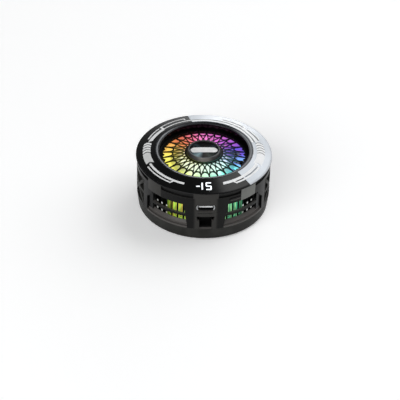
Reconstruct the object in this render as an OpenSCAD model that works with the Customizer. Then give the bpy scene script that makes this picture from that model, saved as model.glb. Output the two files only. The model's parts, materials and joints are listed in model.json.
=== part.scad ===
// Magnetic clip-on cooling fan: a round case that holds a thermoelectric cold plate, a finned heat sink,
// a lit fan under a lattice grille, and a numeric display in the sloping deck.
// Millimetres. +Z is up, the front with the socket faces -Y, and the origin is the centre of the cooled face.
// Azimuths are degrees from the front, positive towards +X.

/* [Case] */
// Outside diameter of the side wall
case_d = 66; // [58:0.5:74]
// How much the foot's radius is smaller than the side wall's
foot_draft = 0.7; // [0:0.1:1.2]
// Bevel round the foot
foot_bevel = 0.35; // [0.2:0.05:0.6]
// Thickness of the side wall
wall_t = 2; // [1.7:0.1:2.3]
// Height of the joint between base and side wall
base_h = 7; // [6.6:0.1:7.6]
// Thickness of the base floor over the contact ring
floor_t = 2.6; // [2.4:0.1:3]
// Distance from the wall's inside to the case screws' axes
column_inset = 1.7; // [1.6:0.05:1.75]
// Azimuth of the case screws from the front and from the back
screw_azimuth = 56.5; // [55.5:0.5:57]
// Radius of the case screws' columns
column_r = 1.9; // [1.8:0.05:2.1]
// Radius of the case screws' shanks
screw_shank_r = 0.8; // [0.6:0.05:0.9]
// Length of the case screws' shanks
screw_l = 11; // [9:0.5:13]

/* [Deck] */
// Height of the deck's outer edge
deck_edge_h = 28.5; // [28.2:0.1:30]
// How far the deck's edge stands past the side wall
deck_overhang = 0.5; // [0.1:0.05:0.6]
// Height of the deck's rim
rim_h = 0.7; // [0.5:0.1:1]
// Rise from the deck's edge to the crest
crest_rise = 2.4; // [2:0.1:3]
// Thickness of the deck under the films
deck_t = 1.6; // [1.2:0.1:1.8]
// Thickness of the printed films
film_t = 0.3; // [0.2:0.05:0.4]
// Width of the bare lip outside the films
lip_w = 0.6; // [0.4:0.1:1]
// Azimuth of the seam at the front between the black and silver films
film_seam_front = 39.8; // [30:0.1:60]
// Azimuth of the seam at the back between the silver and black films
film_seam_back = 192.7; // [170:0.1:200]
// Gap between the two films
film_gap = 0.05; // [0.02:0.01:0.2]
// Width of the deck's slope, from its edge to the bezel
deck_w = 9.3; // [7.6:0.05:10]
// Width of the bezel ring
bezel_w = 2.1; // [1.8:0.1:2.8]
// Depth of the bezel ring at the crest
bezel_h = 1.4; // [1.2:0.1:1.6]
// Drop of the bezel's sloping face
bezel_drop = 0.25; // [0.1:0.05:0.7]
// How far the well's collar reaches below the deck's edge
collar_drop = 2.3; // [2:0.1:2.6]
// Thickness of the well's collar
collar_t = 1.5; // [1.3:0.1:1.6]
// Thickness of the spigot that centres the deck in the wall
spigot_t = 1; // [0.8:0.1:1.2]
// Depth of the spigot
spigot_h = 2; // [1.5:0.1:2.2]

/* [Side wall] */
// Azimuth where each vent window starts, from the front and from the back
window_start = 16; // [15:0.5:17.5]
// Degrees by which that end of the window leans back at its top
window_lean = 3.4; // [0:0.1:5]
// Azimuth where each vent window ends
window_end = 51; // [46:0.5:51.5]
// Azimuth of the pointed end of each window's frame
window_tip = 58; // [55:0.5:59.5]
// Depth of the frame round each window
frame_depth = 0.9; // [0.5:0.1:1.2]
// Height of the windows' sloping sill
sill_h = 2.4; // [1.6:0.1:2.8]
// Height of the lower row of vents
low_row_h = 2.8; // [2:0.1:3.2]
// Height of the bar between the two rows
bar_h = 1.3; // [1:0.1:1.6]
// Height of the upper row of vents
high_row_h = 5.8; // [5:0.1:6]
// Height of the groove under the deck
groove_h = 2.6; // [2:0.1:3]
// Depth of the groove under the deck
groove_depth = 0.8; // [0.4:0.1:1]
// Half width in degrees of the pads at the front and back pillars
pillar_pad = 10.5; // [8:0.5:12]
// Azimuth where the right pad starts
right_pad = 31; // [24:0.5:34]
// Azimuth where the left pad starts
left_pad = 40.5; // [36:0.5:44]
// Width of the side pads in degrees
pad_width = 16; // [10:0.5:18]
// Azimuth where each truss panel starts
truss_start = 62.5; // [62:0.5:66]
// Height of the truss panels
truss_h = 16.2; // [14:0.1:16.6]
// Width of the truss members
truss_member = 1.5; // [1:0.1:2]
// Depth of the truss pockets
truss_depth = 1.5; // [0.8:0.1:1.6]

/* [Socket and clip slot] */
// Width of the socket's shell
usb_w = 8.94; // [8.9:0.01:9]
// Height of the socket's shell
usb_h = 3.16; // [3.1:0.01:3.3]
// Length of the socket's shell
usb_l = 7.35; // [6.8:0.05:7.6]
// How far the socket's mouth lies behind the wall's face
usb_setback = 0.6; // [0.4:0.1:0.9]
// Sheet thickness of the socket's shell
usb_sheet = 0.3; // [0.2:0.05:0.35]
// Gap between the socket and its pocket in the wall
usb_pocket_gap = 0.4; // [0.2:0.05:0.5]
// Height from the base joint to the clip slot
slot_lift = 1.1; // [1:0.1:1.4]
// Width of the clip slot's neck
slot_neck_w = 6; // [5:0.1:6.6]
// Height of the clip slot's neck
slot_neck_h = 4; // [3.4:0.1:4.2]
// Width of the clip slot's head
slot_head_w = 8.9; // [7.5:0.1:9.2]
// Height of the clip slot's head
slot_head_h = 2.5; // [2.2:0.1:2.7]
// Depth of the clip slot
slot_depth = 5; // [4.5:0.1:5.2]
// Width of the block behind the front pillar
pillar_block_w = 13; // [12:0.1:13.4]
// Depth of the block behind the front pillar, from the wall's face
pillar_block_l = 6.5; // [6.2:0.1:6.8]
// Thickness of the web between the clip slot and the main board
slot_web = 2.5; // [2:0.1:2.8]

/* [Button] */
// Azimuth of the button
button_azimuth = 25.5; // [24:0.5:27]
// Height of the button over the window frames
button_lift = 2.4; // [2:0.1:2.6]
// Length of the button's face
button_l = 6; // [4.5:0.1:6.4]
// Height of the button's face
button_h = 1.4; // [1.2:0.1:1.6]
// How far the button stands out of the wall
button_proud = 0.2; // [0.1:0.05:0.2]
// Gap between the button and its slot
button_gap = 0.2; // [0.1:0.01:0.2]
// Travel of the button
button_travel = 0.5; // [0.3:0.05:0.5]

/* [Cold side] */
// Thickness of the contact ring and the thermal pad
pad_t = 0.6; // [0.4:0.1:0.7]
// Distance from the foot's edge to the contact ring
ring_inset = 1.3; // [0.8:0.1:1.6]
// Width of the contact ring
ring_w = 9.5; // [8.5:0.1:10]
// Distance from the cold plate's edge to the thermal pad
thermal_pad_inset = 0.5; // [0.2:0.1:2]
// Width of the cold plate's flange
cold_flange_w = 2; // [1.6:0.1:2.4]
// Thickness of the cold plate's flange
cold_flange_t = 1.8; // [1.6:0.1:2]
// Gap between the magnet ring and the case screws' columns
magnet_gap = 0.3; // [0.2:0.05:0.6]
// Wall between the cold plate and the magnet ring
magnet_web = 0.95; // [0.8:0.05:1.1]
// Width of the magnet ring
magnet_w = 4; // [3.4:0.1:4]
// Number of magnets
magnet_count = 16; // [12:1:20]
// Thickness of the magnets
magnet_t = 1.5; // [1.2:0.1:1.6]
// Thickness of the magnet yoke
yoke_t = 0.5; // [0.3:0.1:0.5]
// Side of the Peltier module
peltier_w = 30; // [26:0.5:34]
// Thickness of each Peltier ceramic
ceramic_t = 0.7; // [0.5:0.05:0.8]
// Height of the Peltier pellets
pellet_h = 1.4; // [1.3:0.05:1.5]
// Side of one pellet
pellet_w = 1.6; // [1.2:0.1:2]
// Pellets along one side of the module
pellet_rows = 8; // [6:1:9]
// Radius of the Peltier leads
peltier_lead_r = 0.55; // [0.4:0.05:0.6]
// Gap between the Peltier module and its gasket
gasket_gap = 0.2; // [0.1:0.05:0.4]
// Least wall of the gasket round the Peltier module
gasket_wall = 0.35; // [0.2:0.05:0.6]

/* [Heat sink] */
// Gap between the heat sink and the side wall
sink_gap = 1.5; // [1.3:0.1:1.8]
// Thickness of the heat sink's base
sink_base_t = 2; // [1.6:0.1:2.2]
// Height of the fins
fin_h = 11.5; // [11:0.1:11.8]
// Thickness of the fins
fin_t = 0.8; // [0.5:0.05:1]
// Number of fin places round the heat sink
fin_count = 60; // [48:4:72]

/* [Light] */
// Gap between the grille's rim and the light ring
light_gap = 0.25; // [0.2:0.05:0.4]
// Thickness of the light ring
light_t = 1.5; // [1.3:0.1:1.6]
// Thickness of the circuit boards
board_t = 1; // [0.8:0.1:1.2]
// Number of light chips
led_count = 14; // [10:1:20]

/* [Grille and hub] */
// Number of repeats of the lattice
lattice_count = 28; // [24:1:30]
// Width of the lattice's ribs
rib_w = 0.5; // [0.4:0.05:0.8]
// Thickness of the lattice
lattice_t = 0.5; // [0.5:0.1:1.4]
// Rise of the lattice from rim to hub
lattice_rise = 1.7; // [1.2:0.1:1.9]
// Radius where the ribs cross
apex_r = 11.8; // [11.5:0.1:12.8]
// Radius where the lattice's openings start
lattice_in_r = 9.6; // [9.2:0.1:10]
// Distance from the grille's edge to the radius where the ribs meet the rim
lattice_inset = 0.95; // [0.95:0.05:1.8]
// Radius of the hub cap
hub_r = 7.9; // [7.4:0.1:8.2]
// Height of the hub cap's rim
hub_rim_h = 1.6; // [1.1:0.1:1.8]
// How much wider the hub cap is at its foot
hub_flare = 0.6; // [0.2:0.1:1.2]
// Width of the silver band on the hub
hub_band_w = 4; // [3:0.1:7]

/* [Fan] */
// Radius of the shaft
shaft_r = 1; // [0.8:0.05:1.2]
// Running clearance between shaft and bearing
bearing_gap = 0.03; // [0.02:0.01:0.06]
// Wall of the bearing sleeve
sleeve_t = 1.4; // [1.2:0.1:1.5]
// Wall of the bearing tube
tube_t = 0.5; // [0.4:0.05:0.6]
// Outside radius of the stator
stator_r = 6.6; // [6.4:0.1:6.8]
// Height of the stator core
stator_h = 9; // [8:0.1:10]
// Number of stator poles
pole_count = 4; // [4:1:6]
// Air gap between stator and rotor magnet
air_gap = 0.3; // [0.3:0.05:0.4]
// Thickness of the rotor magnet
rotor_magnet_t = 0.9; // [0.8:0.05:1]
// Thickness of the rotor yoke
rotor_yoke_t = 0.6; // [0.5:0.05:0.7]
// Thickness of the impeller's hub wall
hub_wall_t = 1.1; // [0.9:0.1:1.2]
// Number of blades
blade_count = 13; // [9:1:13]
// Thickness of the blades
blade_t = 0.9; // [0.7:0.05:1.1]
// Radius of the blades' camber
camber_r = 16; // [15:0.5:17]
// Gap between the blade tips and the light ring
tip_gap = 1.4; // [1:0.1:1.6]
// Gap between the blades and the grille
blade_gap = 0.5; // [0.4:0.05:1]
// How far the impeller's hub lies below the top of the blades
hub_drop = 0.4; // [0.2:0.1:1]

/* [Hidden] */
$fn = 96;

// Clearances
slip = 0.05;          // between pieces that slide together and stay
thread_gap = 0.02;    // between a screw and the hole that it grips
screw_gap = 0.15;     // between a screw and the hole that it passes
column_gap = 0.4;     // between a screw column and the heat sink
far = 60;             // longer than any cut needs

// Radii
case_r = case_d / 2;
inner_r = case_r - wall_t;
screw_r = inner_r - column_inset;
foot_r = case_r - foot_draft;
ring_out_r = foot_r - ring_inset;
ring_in_r = ring_out_r - ring_w;
edge_r = case_r + deck_overhang;
film_out_r = edge_r - lip_w;
magnet_out_r = screw_r - column_r - magnet_gap;
magnet_in_r = magnet_out_r - magnet_w;
cold_flange_r = magnet_in_r - magnet_web - 3 * slip;
cold_face_r = cold_flange_r - cold_flange_w;
thermal_pad_r = cold_face_r - thermal_pad_inset;
peltier_hole = peltier_w + 2 * gasket_gap;
sink_screw_r = (peltier_hole / 2 + cold_flange_r) / 2;
bezel_out_r = edge_r - deck_w;
well_r = bezel_out_r - bezel_w;
bezel_step = 0.1;
bezel_in_r = well_r + bezel_step;
film_in_r = bezel_out_r + slip;
collar_out_r = well_r + collar_t;
spigot_out_r = inner_r - 2 * slip;
spigot_in_r = spigot_out_r - spigot_t;
grille_r = well_r - 2 * slip;
grille_rim_t = 0.95;
lattice_out_r = grille_r - lattice_inset;
grille_flange_r = collar_out_r - 0.15;
light_in_r = grille_r + light_gap;
light_out_r = light_in_r + light_t;
light_seat = 0.9;
fin_in_r = light_out_r - light_seat;
sink_r = inner_r - sink_gap;
led_board_gap = 0.4;
led_board_in_r = light_out_r + led_board_gap;

// Heights
floor_z = pad_t;
floor_top = floor_z + floor_t;
flange_z = floor_top - cold_flange_t;
peltier_hot_z = floor_top + ceramic_t + pellet_h;
sink_z = peltier_hot_z + ceramic_t;
sink_top = sink_z + sink_base_t;
fin_top = sink_top + fin_h;
led_top = fin_top + board_t;
wall_top = deck_edge_h - rim_h;
groove_z = wall_top - groove_h;
collar_z = deck_edge_h - collar_drop;
grille_flange_t = 0.8;
grille_flange_z = collar_z - grille_flange_t;
lattice_rim_z = deck_edge_h - 0.9;
lattice_hub_z = lattice_rim_z + lattice_rise;
crest_h = deck_edge_h + crest_rise;
bezel_seat_z = crest_h - bezel_h;
deck_slope = crest_rise / (edge_r - bezel_out_r);
deck_angle = atan(deck_slope);

// Height of the deck's top surface at a radius
function deck_z(r) = deck_edge_h + (edge_r - r) * deck_slope;

// Side wall
sill_z = base_h + 1;
low_row_z = sill_z + sill_h;
bar_z = low_row_z + low_row_h;
high_row_z = bar_z + bar_h;
high_row_top = high_row_z + high_row_h;
frame_top = high_row_top + 0.6;
frame_mid = high_row_z + 1.2;
frame_margin = 0.5;
frame_slant = 3;
truss_z = base_h + 0.4;
truss_top = truss_z + truss_h;
truss_end = 180 - truss_start;
truss_flange = 1;
truss_flange_t = 0.75;
bay_angle = (truss_end - truss_start) / 2;

// Clip slot, main board and socket, stacked on the pillar block
slot_z = base_h + slot_lift;
slot_shoulder_z = slot_z + slot_neck_h;
slot_top = slot_shoulder_z + slot_head_h;
block_top = slot_top + slot_web;
block_back = case_r - pillar_block_l;
usb_z = block_top + board_t + usb_h / 2;
usb_mouth = case_r - usb_setback;
main_board_w = 14;
main_board_gap = 0.3;
main_board_front = sqrt(inner_r * inner_r - main_board_w * main_board_w / 4) - main_board_gap;
main_board_back = block_back - 1.9;
port_groove = 0.4;
sink_flat = block_back - 2.9;
sink_notch_w = main_board_w + 1;
lead_rise_r = (block_back + sink_flat) / 2;

// Button
button_z = frame_top + button_lift;
flange_margin = 0.7;
button_flange_r = inner_r - 0.3;
button_flange_t = 0.95;
switch_tip_r = button_flange_r - button_flange_t - button_travel - 0.3;
switch_nub_l = 0.5;
switch_l = 3;
switch_w = 4.5;
switch_nub_r = 0.7;
switch_over = 1.2;

// Screws
head_r = 1.5;
head_h = 1.1;
head_sink = 0.15;
small_shank_r = 0.75;
small_head_r = 1.3;
small_head_h = 0.9;
sink_screw_azimuths = [0, 90, 180, 270];
column_azimuths = [screw_azimuth, 180 - screw_azimuth, 180 + screw_azimuth, -screw_azimuth];

// Display
display_r = (film_in_r + film_out_r) / 2;
display_w = 9.8;
display_h = 4.6;
display_depth = 3;
display_gap = 0.1;
digit_w = 2.2;
minus_w = 1.6;
minus_x = -3.8;
one_x = -1.82;
five_x = 1.26;
digit_h = 4;
stroke = 0.8;
stroke_gap = 0.1;

// Fan, stacked on the heat sink
fan_base_r = 12;
fan_base_t = 1;
thrust_t = 0.4;
fan_base_top = sink_top + fan_base_t;
fan_board_t = 0.8;
fan_board_r = 8.8;
fan_screw_r = 10.6;
fan_screw_azimuths = [60, 180, 300];
sleeve_r = shaft_r + bearing_gap + sleeve_t;
tube_in_r = sleeve_r + thread_gap;
tube_out_r = tube_in_r + tube_t;
coil_over = 0.8;
stator_z = fan_base_top + fan_board_t + coil_over + 0.4;
stator_top = stator_z + stator_h;
tube_top = stator_top + 0.2;
sleeve_z = fan_base_top + 0.3;
rotor_magnet_in_r = stator_r + air_gap;
rotor_magnet_out_r = rotor_magnet_in_r + rotor_magnet_t;
yoke_in_r = rotor_magnet_out_r + slip;
yoke_out_r = yoke_in_r + rotor_yoke_t;
impeller_in_r = yoke_out_r + slip;
impeller_hub_r = impeller_in_r + hub_wall_t;
rotor_z = fan_base_top + fan_board_t + 0.5;
yoke_top = stator_top + coil_over + 0.4 + rotor_yoke_t;
hub_plate_z = yoke_top + slip;
blade_tip_r = light_in_r - tip_gap;
blade_top = grille_flange_z - blade_gap;
hub_top = blade_top - hub_drop;
blade_start = 8;
blade_end = 62;
shaft_z = sink_top + thrust_t + 0.3;
shaft_top = hub_top - 0.2;
clip_z = shaft_z + 0.1;
clip_t = 0.2;
fan_lead_r = 0.4;
fan_lead_z = fan_base_top + fan_lead_r + slip;

// Colours
gloss_black = "#18181a";
satin_black = "#232326";
deep_black = "#0b0b0c";
gunmetal = "#4a4c50";
silver = "#c9ccd1";
steel = "#b9bcc0";
aluminium = "#a9adb3";
white = "#f2f4f6";

// Turns children, drawn at the front, to an azimuth
module at_azimuth(a) { rotate([0, 0, a]) children(); }

// Revolves a radius and height outline from one azimuth to another
module sector(a0, a1) { rotate([0, 0, a0 - 90]) rotate_extrude(angle = a1 - a0) children(); }

// Outline of a band between two radii and two heights
module band(r0, r1, z0, z1) { translate([r0, z0]) square([r1 - r0, z1 - z0]); }

// Full ring between two radii and two heights
module ring(r0, r1, z0, z1) { rotate_extrude() band(r0, r1, z0, z1); }

// Extrudes a width and height outline outwards through the front, between two distances from the axis
module front_prism(r0, r1) { translate([0, -r0, 0]) rotate([90, 0, 0]) linear_extrude(r1 - r0) children(); }

// Cylinder that stands between two heights
module post(r, z0, z1) { translate([0, 0, z0]) cylinder(r = r, h = z1 - z0); }

// Places children at a radius and each azimuth of a list
module at_each(azimuths, r) { for (a = azimuths) at_azimuth(a) translate([0, -r, 0]) children(); }

// Points of an outline with round ends, lying along x
function stadium(w, h, steps = 8) = [
    for (end = [0, 1], i = [0 : steps])
        let (a = 90 - 180 * i / steps + 180 * end, c = (end == 0 ? 1 : -1) * (w - h) / 2)
            [c + h / 2 * cos(a), h / 2 * sin(a)]
];

// Point on the ground plane at a radius and an azimuth
function polar(r, a) = [r * sin(a), -r * cos(a)];

// Where two lines, each a point and a direction, meet
function cross2(u, v) = u[0] * v[1] - u[1] * v[0];
function meet(p, d, q, e) = p + d * cross2(q - p, e) / cross2(d, e);

// Convex outline, counter-clockwise, with every side moved inwards
function inset(p, d) = let (n = len(p)) [
    for (i = [0 : n - 1])
        let (
            a = p[(i + n - 1) % n],
            b = p[i],
            c = p[(i + 1) % n],
            u = (b - a) / norm(b - a),
            v = (c - b) / norm(c - b)
        )
            meet(b + d * [-u[1], u[0]], u, b + d * [-v[1], v[0]], v)
];

// Cold side

module silicone_ring() { color("#2b2b2d") ring(ring_in_r, ring_out_r, 0, pad_t); }

module thermal_pad() { color("#8fa6b8") post(thermal_pad_r, 0, pad_t); }

module base_shell() {
    lip_r = cold_face_r + 2 * slip;
    seat_r = cold_flange_r + 2 * slip;
    groove_bottom = floor_top - magnet_t - yoke_t;
    color(satin_black) difference() {
        union() {
            rotate_extrude() polygon([
                [lip_r, floor_z], [foot_r - foot_bevel, floor_z], [foot_r, floor_z + foot_bevel],
                [case_r, base_h], [inner_r, base_h], [inner_r, floor_top],
                [magnet_out_r + slip, floor_top], [magnet_out_r + slip, groove_bottom],
                [magnet_in_r - slip, groove_bottom], [magnet_in_r - slip, floor_top],
                [seat_r, floor_top], [seat_r, flange_z], [lip_r, flange_z]
            ]);
            at_each(column_azimuths, screw_r) post(column_r, floor_z + floor_t / 2, base_h);
        }
        at_each(column_azimuths, screw_r) post(screw_shank_r + screw_gap, floor_z - 1, base_h + 1);
        at_each(column_azimuths, screw_r) post(head_r + screw_gap, floor_z - 1, floor_z + head_sink + head_h);
    }
}

module cold_plate() {
    color(aluminium) difference() {
        union() {
            post(cold_face_r, floor_z, floor_top);
            post(cold_flange_r, flange_z, floor_top);
        }
        at_each(sink_screw_azimuths, sink_screw_r)
            post(small_shank_r + thread_gap, floor_z + 1, floor_top + 1);
    }
}

module ring_magnets() {
    pitch = 360 / magnet_count;
    gap = 1;
    z = floor_top - yoke_t - magnet_t;
    color("#8b8f95") for (i = [0 : magnet_count - 1])
        sector(i * pitch + gap, (i + 1) * pitch - gap) band(magnet_in_r, magnet_out_r, z, z + magnet_t);
}

module magnet_yoke() { color(steel) ring(magnet_in_r, magnet_out_r, floor_top - yoke_t, floor_top); }

module ceramic(z) { translate([-peltier_w / 2, -peltier_w / 2, z]) cube([peltier_w, peltier_w, ceramic_t]); }

module peltier_cold_ceramic() { color(white) ceramic(floor_top); }

module peltier_hot_ceramic() { color(white) ceramic(peltier_hot_z); }

module peltier_pellets() {
    margin = 1.6;
    pitch = (peltier_w - 2 * margin - pellet_w) / (pellet_rows - 1);
    start = -peltier_w / 2 + margin;
    color("#6f7277") for (i = [0 : pellet_rows - 1], j = [0 : pellet_rows - 1])
        translate([start + i * pitch, start + j * pitch, floor_top + ceramic_t])
            cube([pellet_w, pellet_w, pellet_h]);
}

// A lead that runs towards the front at one height, then turns up to the main board
module lead(x, y0, z, r) {
    bend = 3 * r;
    y1 = lead_rise_r - bend;
    translate([x, -y1, z]) rotate([-90, 0, 0]) cylinder(r = r, h = y1 - y0);
    translate([x, -y1, z + bend]) rotate([0, 90, 0]) rotate([0, 0, -90])
        rotate_extrude(angle = 90) translate([bend, 0]) circle(r = r);
    translate([x, -lead_rise_r, z + bend]) cylinder(r = r, h = block_top - z - bend);
}

peltier_lead_x = [-4.6, -2.6];
peltier_lead_z = floor_top + ceramic_t + pellet_h / 2;

module peltier_leads() {
    color("#a3202a") for (x = peltier_lead_x) lead(x, peltier_w / 2 - 0.9, peltier_lead_z, peltier_lead_r);
}

module insulation_gasket() {
    lead_side = peltier_lead_r + screw_gap;
    frame_w = peltier_hole + 2 * gasket_wall;
    color("#3a3a3d") difference() {
        union() {
            post(cold_flange_r, floor_top, sink_z);
            translate([-frame_w / 2, -frame_w / 2, floor_top]) cube([frame_w, frame_w, sink_z - floor_top]);
        }
        translate([-peltier_hole / 2, -peltier_hole / 2, 0]) cube([peltier_hole, peltier_hole, far]);
        at_each(sink_screw_azimuths, sink_screw_r) post(small_shank_r + screw_gap, 0, far);
        translate([peltier_lead_x[0] - lead_side, -far, 0])
            cube([peltier_lead_x[1] - peltier_lead_x[0] + 2 * lead_side, far - peltier_w / 2 + 1, far]);
    }
}

// Heat sink

// True where a fin is left out: at the pillar block and at the case screws
function turn_between(a, b) = let (d = abs((a - b + 720) % 360)) min(d, 360 - d);
function by_pillar(a) = turn_between(a, 0) < asin((pillar_block_w / 2 + fin_t) / fin_in_r);
function by_column(a) = min([for (c = column_azimuths) turn_between(a, c)])
    < asin((column_r + fin_t / 2 + column_gap) / screw_r);
function fin_free(a) = by_pillar(a) || by_column(a);

module heat_sink() {
    pitch = 360 / fin_count;
    color(aluminium) difference() {
        union() {
            post(sink_r, sink_z, sink_top);
            for (i = [0 : fin_count - 1]) let (a = (i + 0.5) * pitch)
                if (!fin_free(a))
                    at_azimuth(a) translate([-fin_t / 2, -sink_r + 0.05, sink_top - 0.5])
                        cube([fin_t, sink_r - fin_in_r, fin_h + 0.5]);
        }
        translate([-sink_notch_w / 2, -far - sink_flat, sink_z - 1])
            cube([sink_notch_w, far, sink_base_t + fin_h + 2]);
        at_each(column_azimuths, screw_r) post(column_r + column_gap, 0, far);
        at_each(sink_screw_azimuths, sink_screw_r) post(small_shank_r + screw_gap, 0, far);
        at_each(fan_screw_azimuths, fan_screw_r) post(small_shank_r + thread_gap, sink_z + 0.4, far);
    }
}

// Screw with its head up, its head's seat at one height and its tip at another
module small_screw(seat, tip) {
    difference() {
        union() {
            post(small_shank_r, tip, seat + 0.1);
            post(small_head_r, seat, seat + small_head_h);
        }
        translate([0, 0, seat + small_head_h - 0.4]) cylinder(r = 0.6, h = 1, $fn = 6);
    }
}

module heat_sink_screws() {
    color(steel) at_each(sink_screw_azimuths, sink_screw_r) small_screw(sink_top, floor_z + 1.2);
}

// Case wall

// Outline on the front, from azimuths and heights measured from the prism's own middle azimuth
function on_wall(points) = [for (p = points) [case_r * sin(p[0]), p[1]]];

// Cuts one vent window: its frame, its two rows and its sloping sill
module window_cut() {
    mid = (window_start + window_tip) / 2;
    near = window_start - mid;
    far_end = window_end - mid;
    tip = window_tip - mid;
    at_azimuth(mid) intersection() {
        ring(case_r - frame_depth, case_r + 2, 0, far);
        front_prism(0, far) polygon(on_wall([
            [near - frame_margin, sill_z], [tip, sill_z], [tip, frame_mid],
            [far_end - frame_slant, frame_top], [near - frame_margin + window_lean, frame_top]
        ]));
    }
    at_azimuth(mid) intersection() {
        rotate_extrude() {
            band(inner_r - 1, case_r + 2, high_row_z, high_row_top);
            polygon([
                [inner_r - 1, low_row_z], [inner_r, low_row_z], [case_r, sill_z], [case_r + 2, sill_z],
                [case_r + 2, bar_z], [inner_r - 1, bar_z]
            ]);
        }
        front_prism(0, far) polygon(on_wall([
            [near, sill_z], [far_end, sill_z], [far_end, frame_top], [near + window_lean, frame_top]
        ]));
    }
}

// Cuts the groove under the deck between two azimuths
module groove_cut(a0, a1) { sector(a0, a1) band(case_r - groove_depth, case_r + 2, groove_z, wall_top + 1); }

// Outline of the clip slot
function slot_outline() = let (n = slot_neck_w / 2, h = slot_head_w / 2, slant = 0.7) [
    [-n, slot_z], [n, slot_z], [n, slot_shoulder_z], [h - slant, slot_shoulder_z], [h, slot_top],
    [-h, slot_top], [-h + slant, slot_shoulder_z], [-n, slot_shoulder_z]
];

// Bevel that leads into the foot of the clip slot
module slot_bevel() {
    run = 2;
    drop = slot_lift - 0.2;
    translate([-slot_neck_w / 2, 0, 0]) rotate([90, 0, 90]) linear_extrude(slot_neck_w)
        polygon([[-case_r - 1, slot_z + 1], [-case_r - 1, slot_z - drop], [-case_r + 0.2, slot_z - drop],
            [-case_r + run, slot_z + 0.1], [-case_r + run, slot_z + 1]]);
}

module side_shell() {
    left_pad_end = left_pad + pad_width;
    right_pad_end = right_pad + pad_width;
    color(gloss_black) difference() {
        union() {
            ring(inner_r, case_r, base_h, wall_top);
            translate([-pillar_block_w / 2, -case_r + 1, base_h])
                cube([pillar_block_w, case_r - 1 - block_back, block_top - base_h]);
            at_each(column_azimuths, screw_r) post(column_r, base_h, base_h + screw_l);
        }
        window_cut();
        mirror([1, 0, 0]) window_cut();
        mirror([0, 1, 0]) window_cut();
        rotate([0, 0, 180]) window_cut();
        groove_cut(pillar_pad, right_pad);
        groove_cut(right_pad_end, 180 - right_pad_end);
        groove_cut(180 - right_pad, 180 - pillar_pad);
        groove_cut(180 + pillar_pad, 180 + left_pad);
        groove_cut(180 + left_pad_end, 360 - left_pad_end);
        groove_cut(360 - left_pad, 360 - pillar_pad);
        for (side = [0, 180])
            sector(truss_start + side, truss_end + side) band(inner_r - 1, case_r + 2, truss_z, truss_top);
        front_prism(block_back - 1, far) translate([0, usb_z])
            polygon(stadium(usb_w + 2 * usb_pocket_gap, usb_h + 2 * usb_pocket_gap));
        front_prism(case_r - port_groove, far) translate([-usb_w / 2, block_top - 2 * port_groove])
            square([usb_w, port_groove]);
        front_prism(case_r - slot_depth, far) polygon(slot_outline());
        slot_bevel();
        at_azimuth(button_azimuth) front_prism(inner_r - 2, far) translate([0, button_z])
            polygon(stadium(button_l + 2 * button_gap, button_h + 2 * button_gap));
        at_each(column_azimuths, screw_r)
            post(screw_shank_r + thread_gap, base_h - 1, floor_z + head_sink + head_h + screw_l + 1);
    }
}

// Triangles between the members of one truss bay, as outlines about the bay's middle
function bay_triangles() =
    let (
        w = case_r * sin(bay_angle / 2),
        m = truss_member / 2,
        low = truss_z,
        high = truss_top,
        mid = (truss_z + truss_top) / 2
    ) [
        inset([[-w, low], [w, low], [0, mid]], m),
        inset([[-w, high], [0, mid], [w, high]], m),
        inset([[-w, low], [0, mid], [-w, mid]], m),
        inset([[-w, mid], [0, mid], [-w, high]], m),
        inset([[w, low], [w, mid], [0, mid]], m),
        inset([[w, mid], [w, high], [0, mid]], m)
    ];

module truss_panel() {
    play = 0.15;
    edge = truss_flange / inner_r * 180 / PI;
    flange_out_r = inner_r - slip;
    flange_in_r = flange_out_r - truss_flange_t;
    difference() {
        union() {
            sector(truss_start + play, truss_end - play)
                band(flange_in_r, case_r, truss_z + slip, truss_top - slip);
            sector(truss_start - edge, truss_end + edge)
                band(flange_in_r, flange_out_r, truss_z - truss_flange, truss_top + truss_flange);
        }
        for (bay = [-0.5, 0.5]) at_azimuth(90 + bay * bay_angle) intersection() {
            ring(case_r - truss_depth, case_r + 2, 0, far);
            union() for (t = bay_triangles()) front_prism(0, far) polygon(t);
        }
    }
}

module truss_panel_right() { color(satin_black) truss_panel(); }

module truss_panel_left() { color(satin_black) mirror([1, 0, 0]) truss_panel(); }

module case_screws() {
    seat = floor_z + head_sink + head_h;
    color(steel) at_each(column_azimuths, screw_r) difference() {
        union() {
            post(head_r, floor_z + head_sink, seat);
            post(screw_shank_r, seat - 0.1, seat + screw_l);
        }
        translate([0, 0, floor_z]) cylinder(r = 0.7, h = 0.7, $fn = 6);
    }
}

// Electronics

module main_board() {
    color("#1f5b3a") translate([-main_board_w / 2, -main_board_front, block_top])
        cube([main_board_w, main_board_front - main_board_back, board_t]);
}

module usb_c_shell() {
    inner = 2 * usb_sheet;
    color(steel) difference() {
        front_prism(usb_mouth - usb_l, usb_mouth) translate([0, usb_z]) polygon(stadium(usb_w, usb_h));
        front_prism(0, far) translate([0, usb_z]) polygon(stadium(usb_w - inner, usb_h - inner));
    }
}

module usb_c_tongue() {
    plug_l = 1.2;
    tongue_w = 6.7;
    tongue_h = 0.7;
    back = usb_mouth - usb_l;
    play = 2 * usb_sheet + 2 * slip;
    color(deep_black) {
        front_prism(back, back + plug_l) translate([0, usb_z]) polygon(stadium(usb_w - play, usb_h - play));
        front_prism(back + plug_l / 2, usb_mouth - 0.8) translate([-tongue_w / 2, usb_z - tongue_h / 2])
            square([tongue_w, tongue_h]);
    }
}

module led_board() {
    gap = asin((usb_w / 2 + 2.6) / led_board_in_r);
    color("#1c1f24") sector(gap, 360 - gap) band(led_board_in_r, sink_r, fin_top, led_top);
}

module led_chips() {
    gap = 24;
    pitch = (360 - 2 * gap) / (led_count - 1);
    chip = [1.6, 1.2, 0.9];
    color(white) for (i = [0 : led_count - 1]) at_azimuth(gap + i * pitch)
        translate([-chip[0] / 2, -led_board_in_r - chip[1] - 0.1, led_top]) cube(chip);
}

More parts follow.
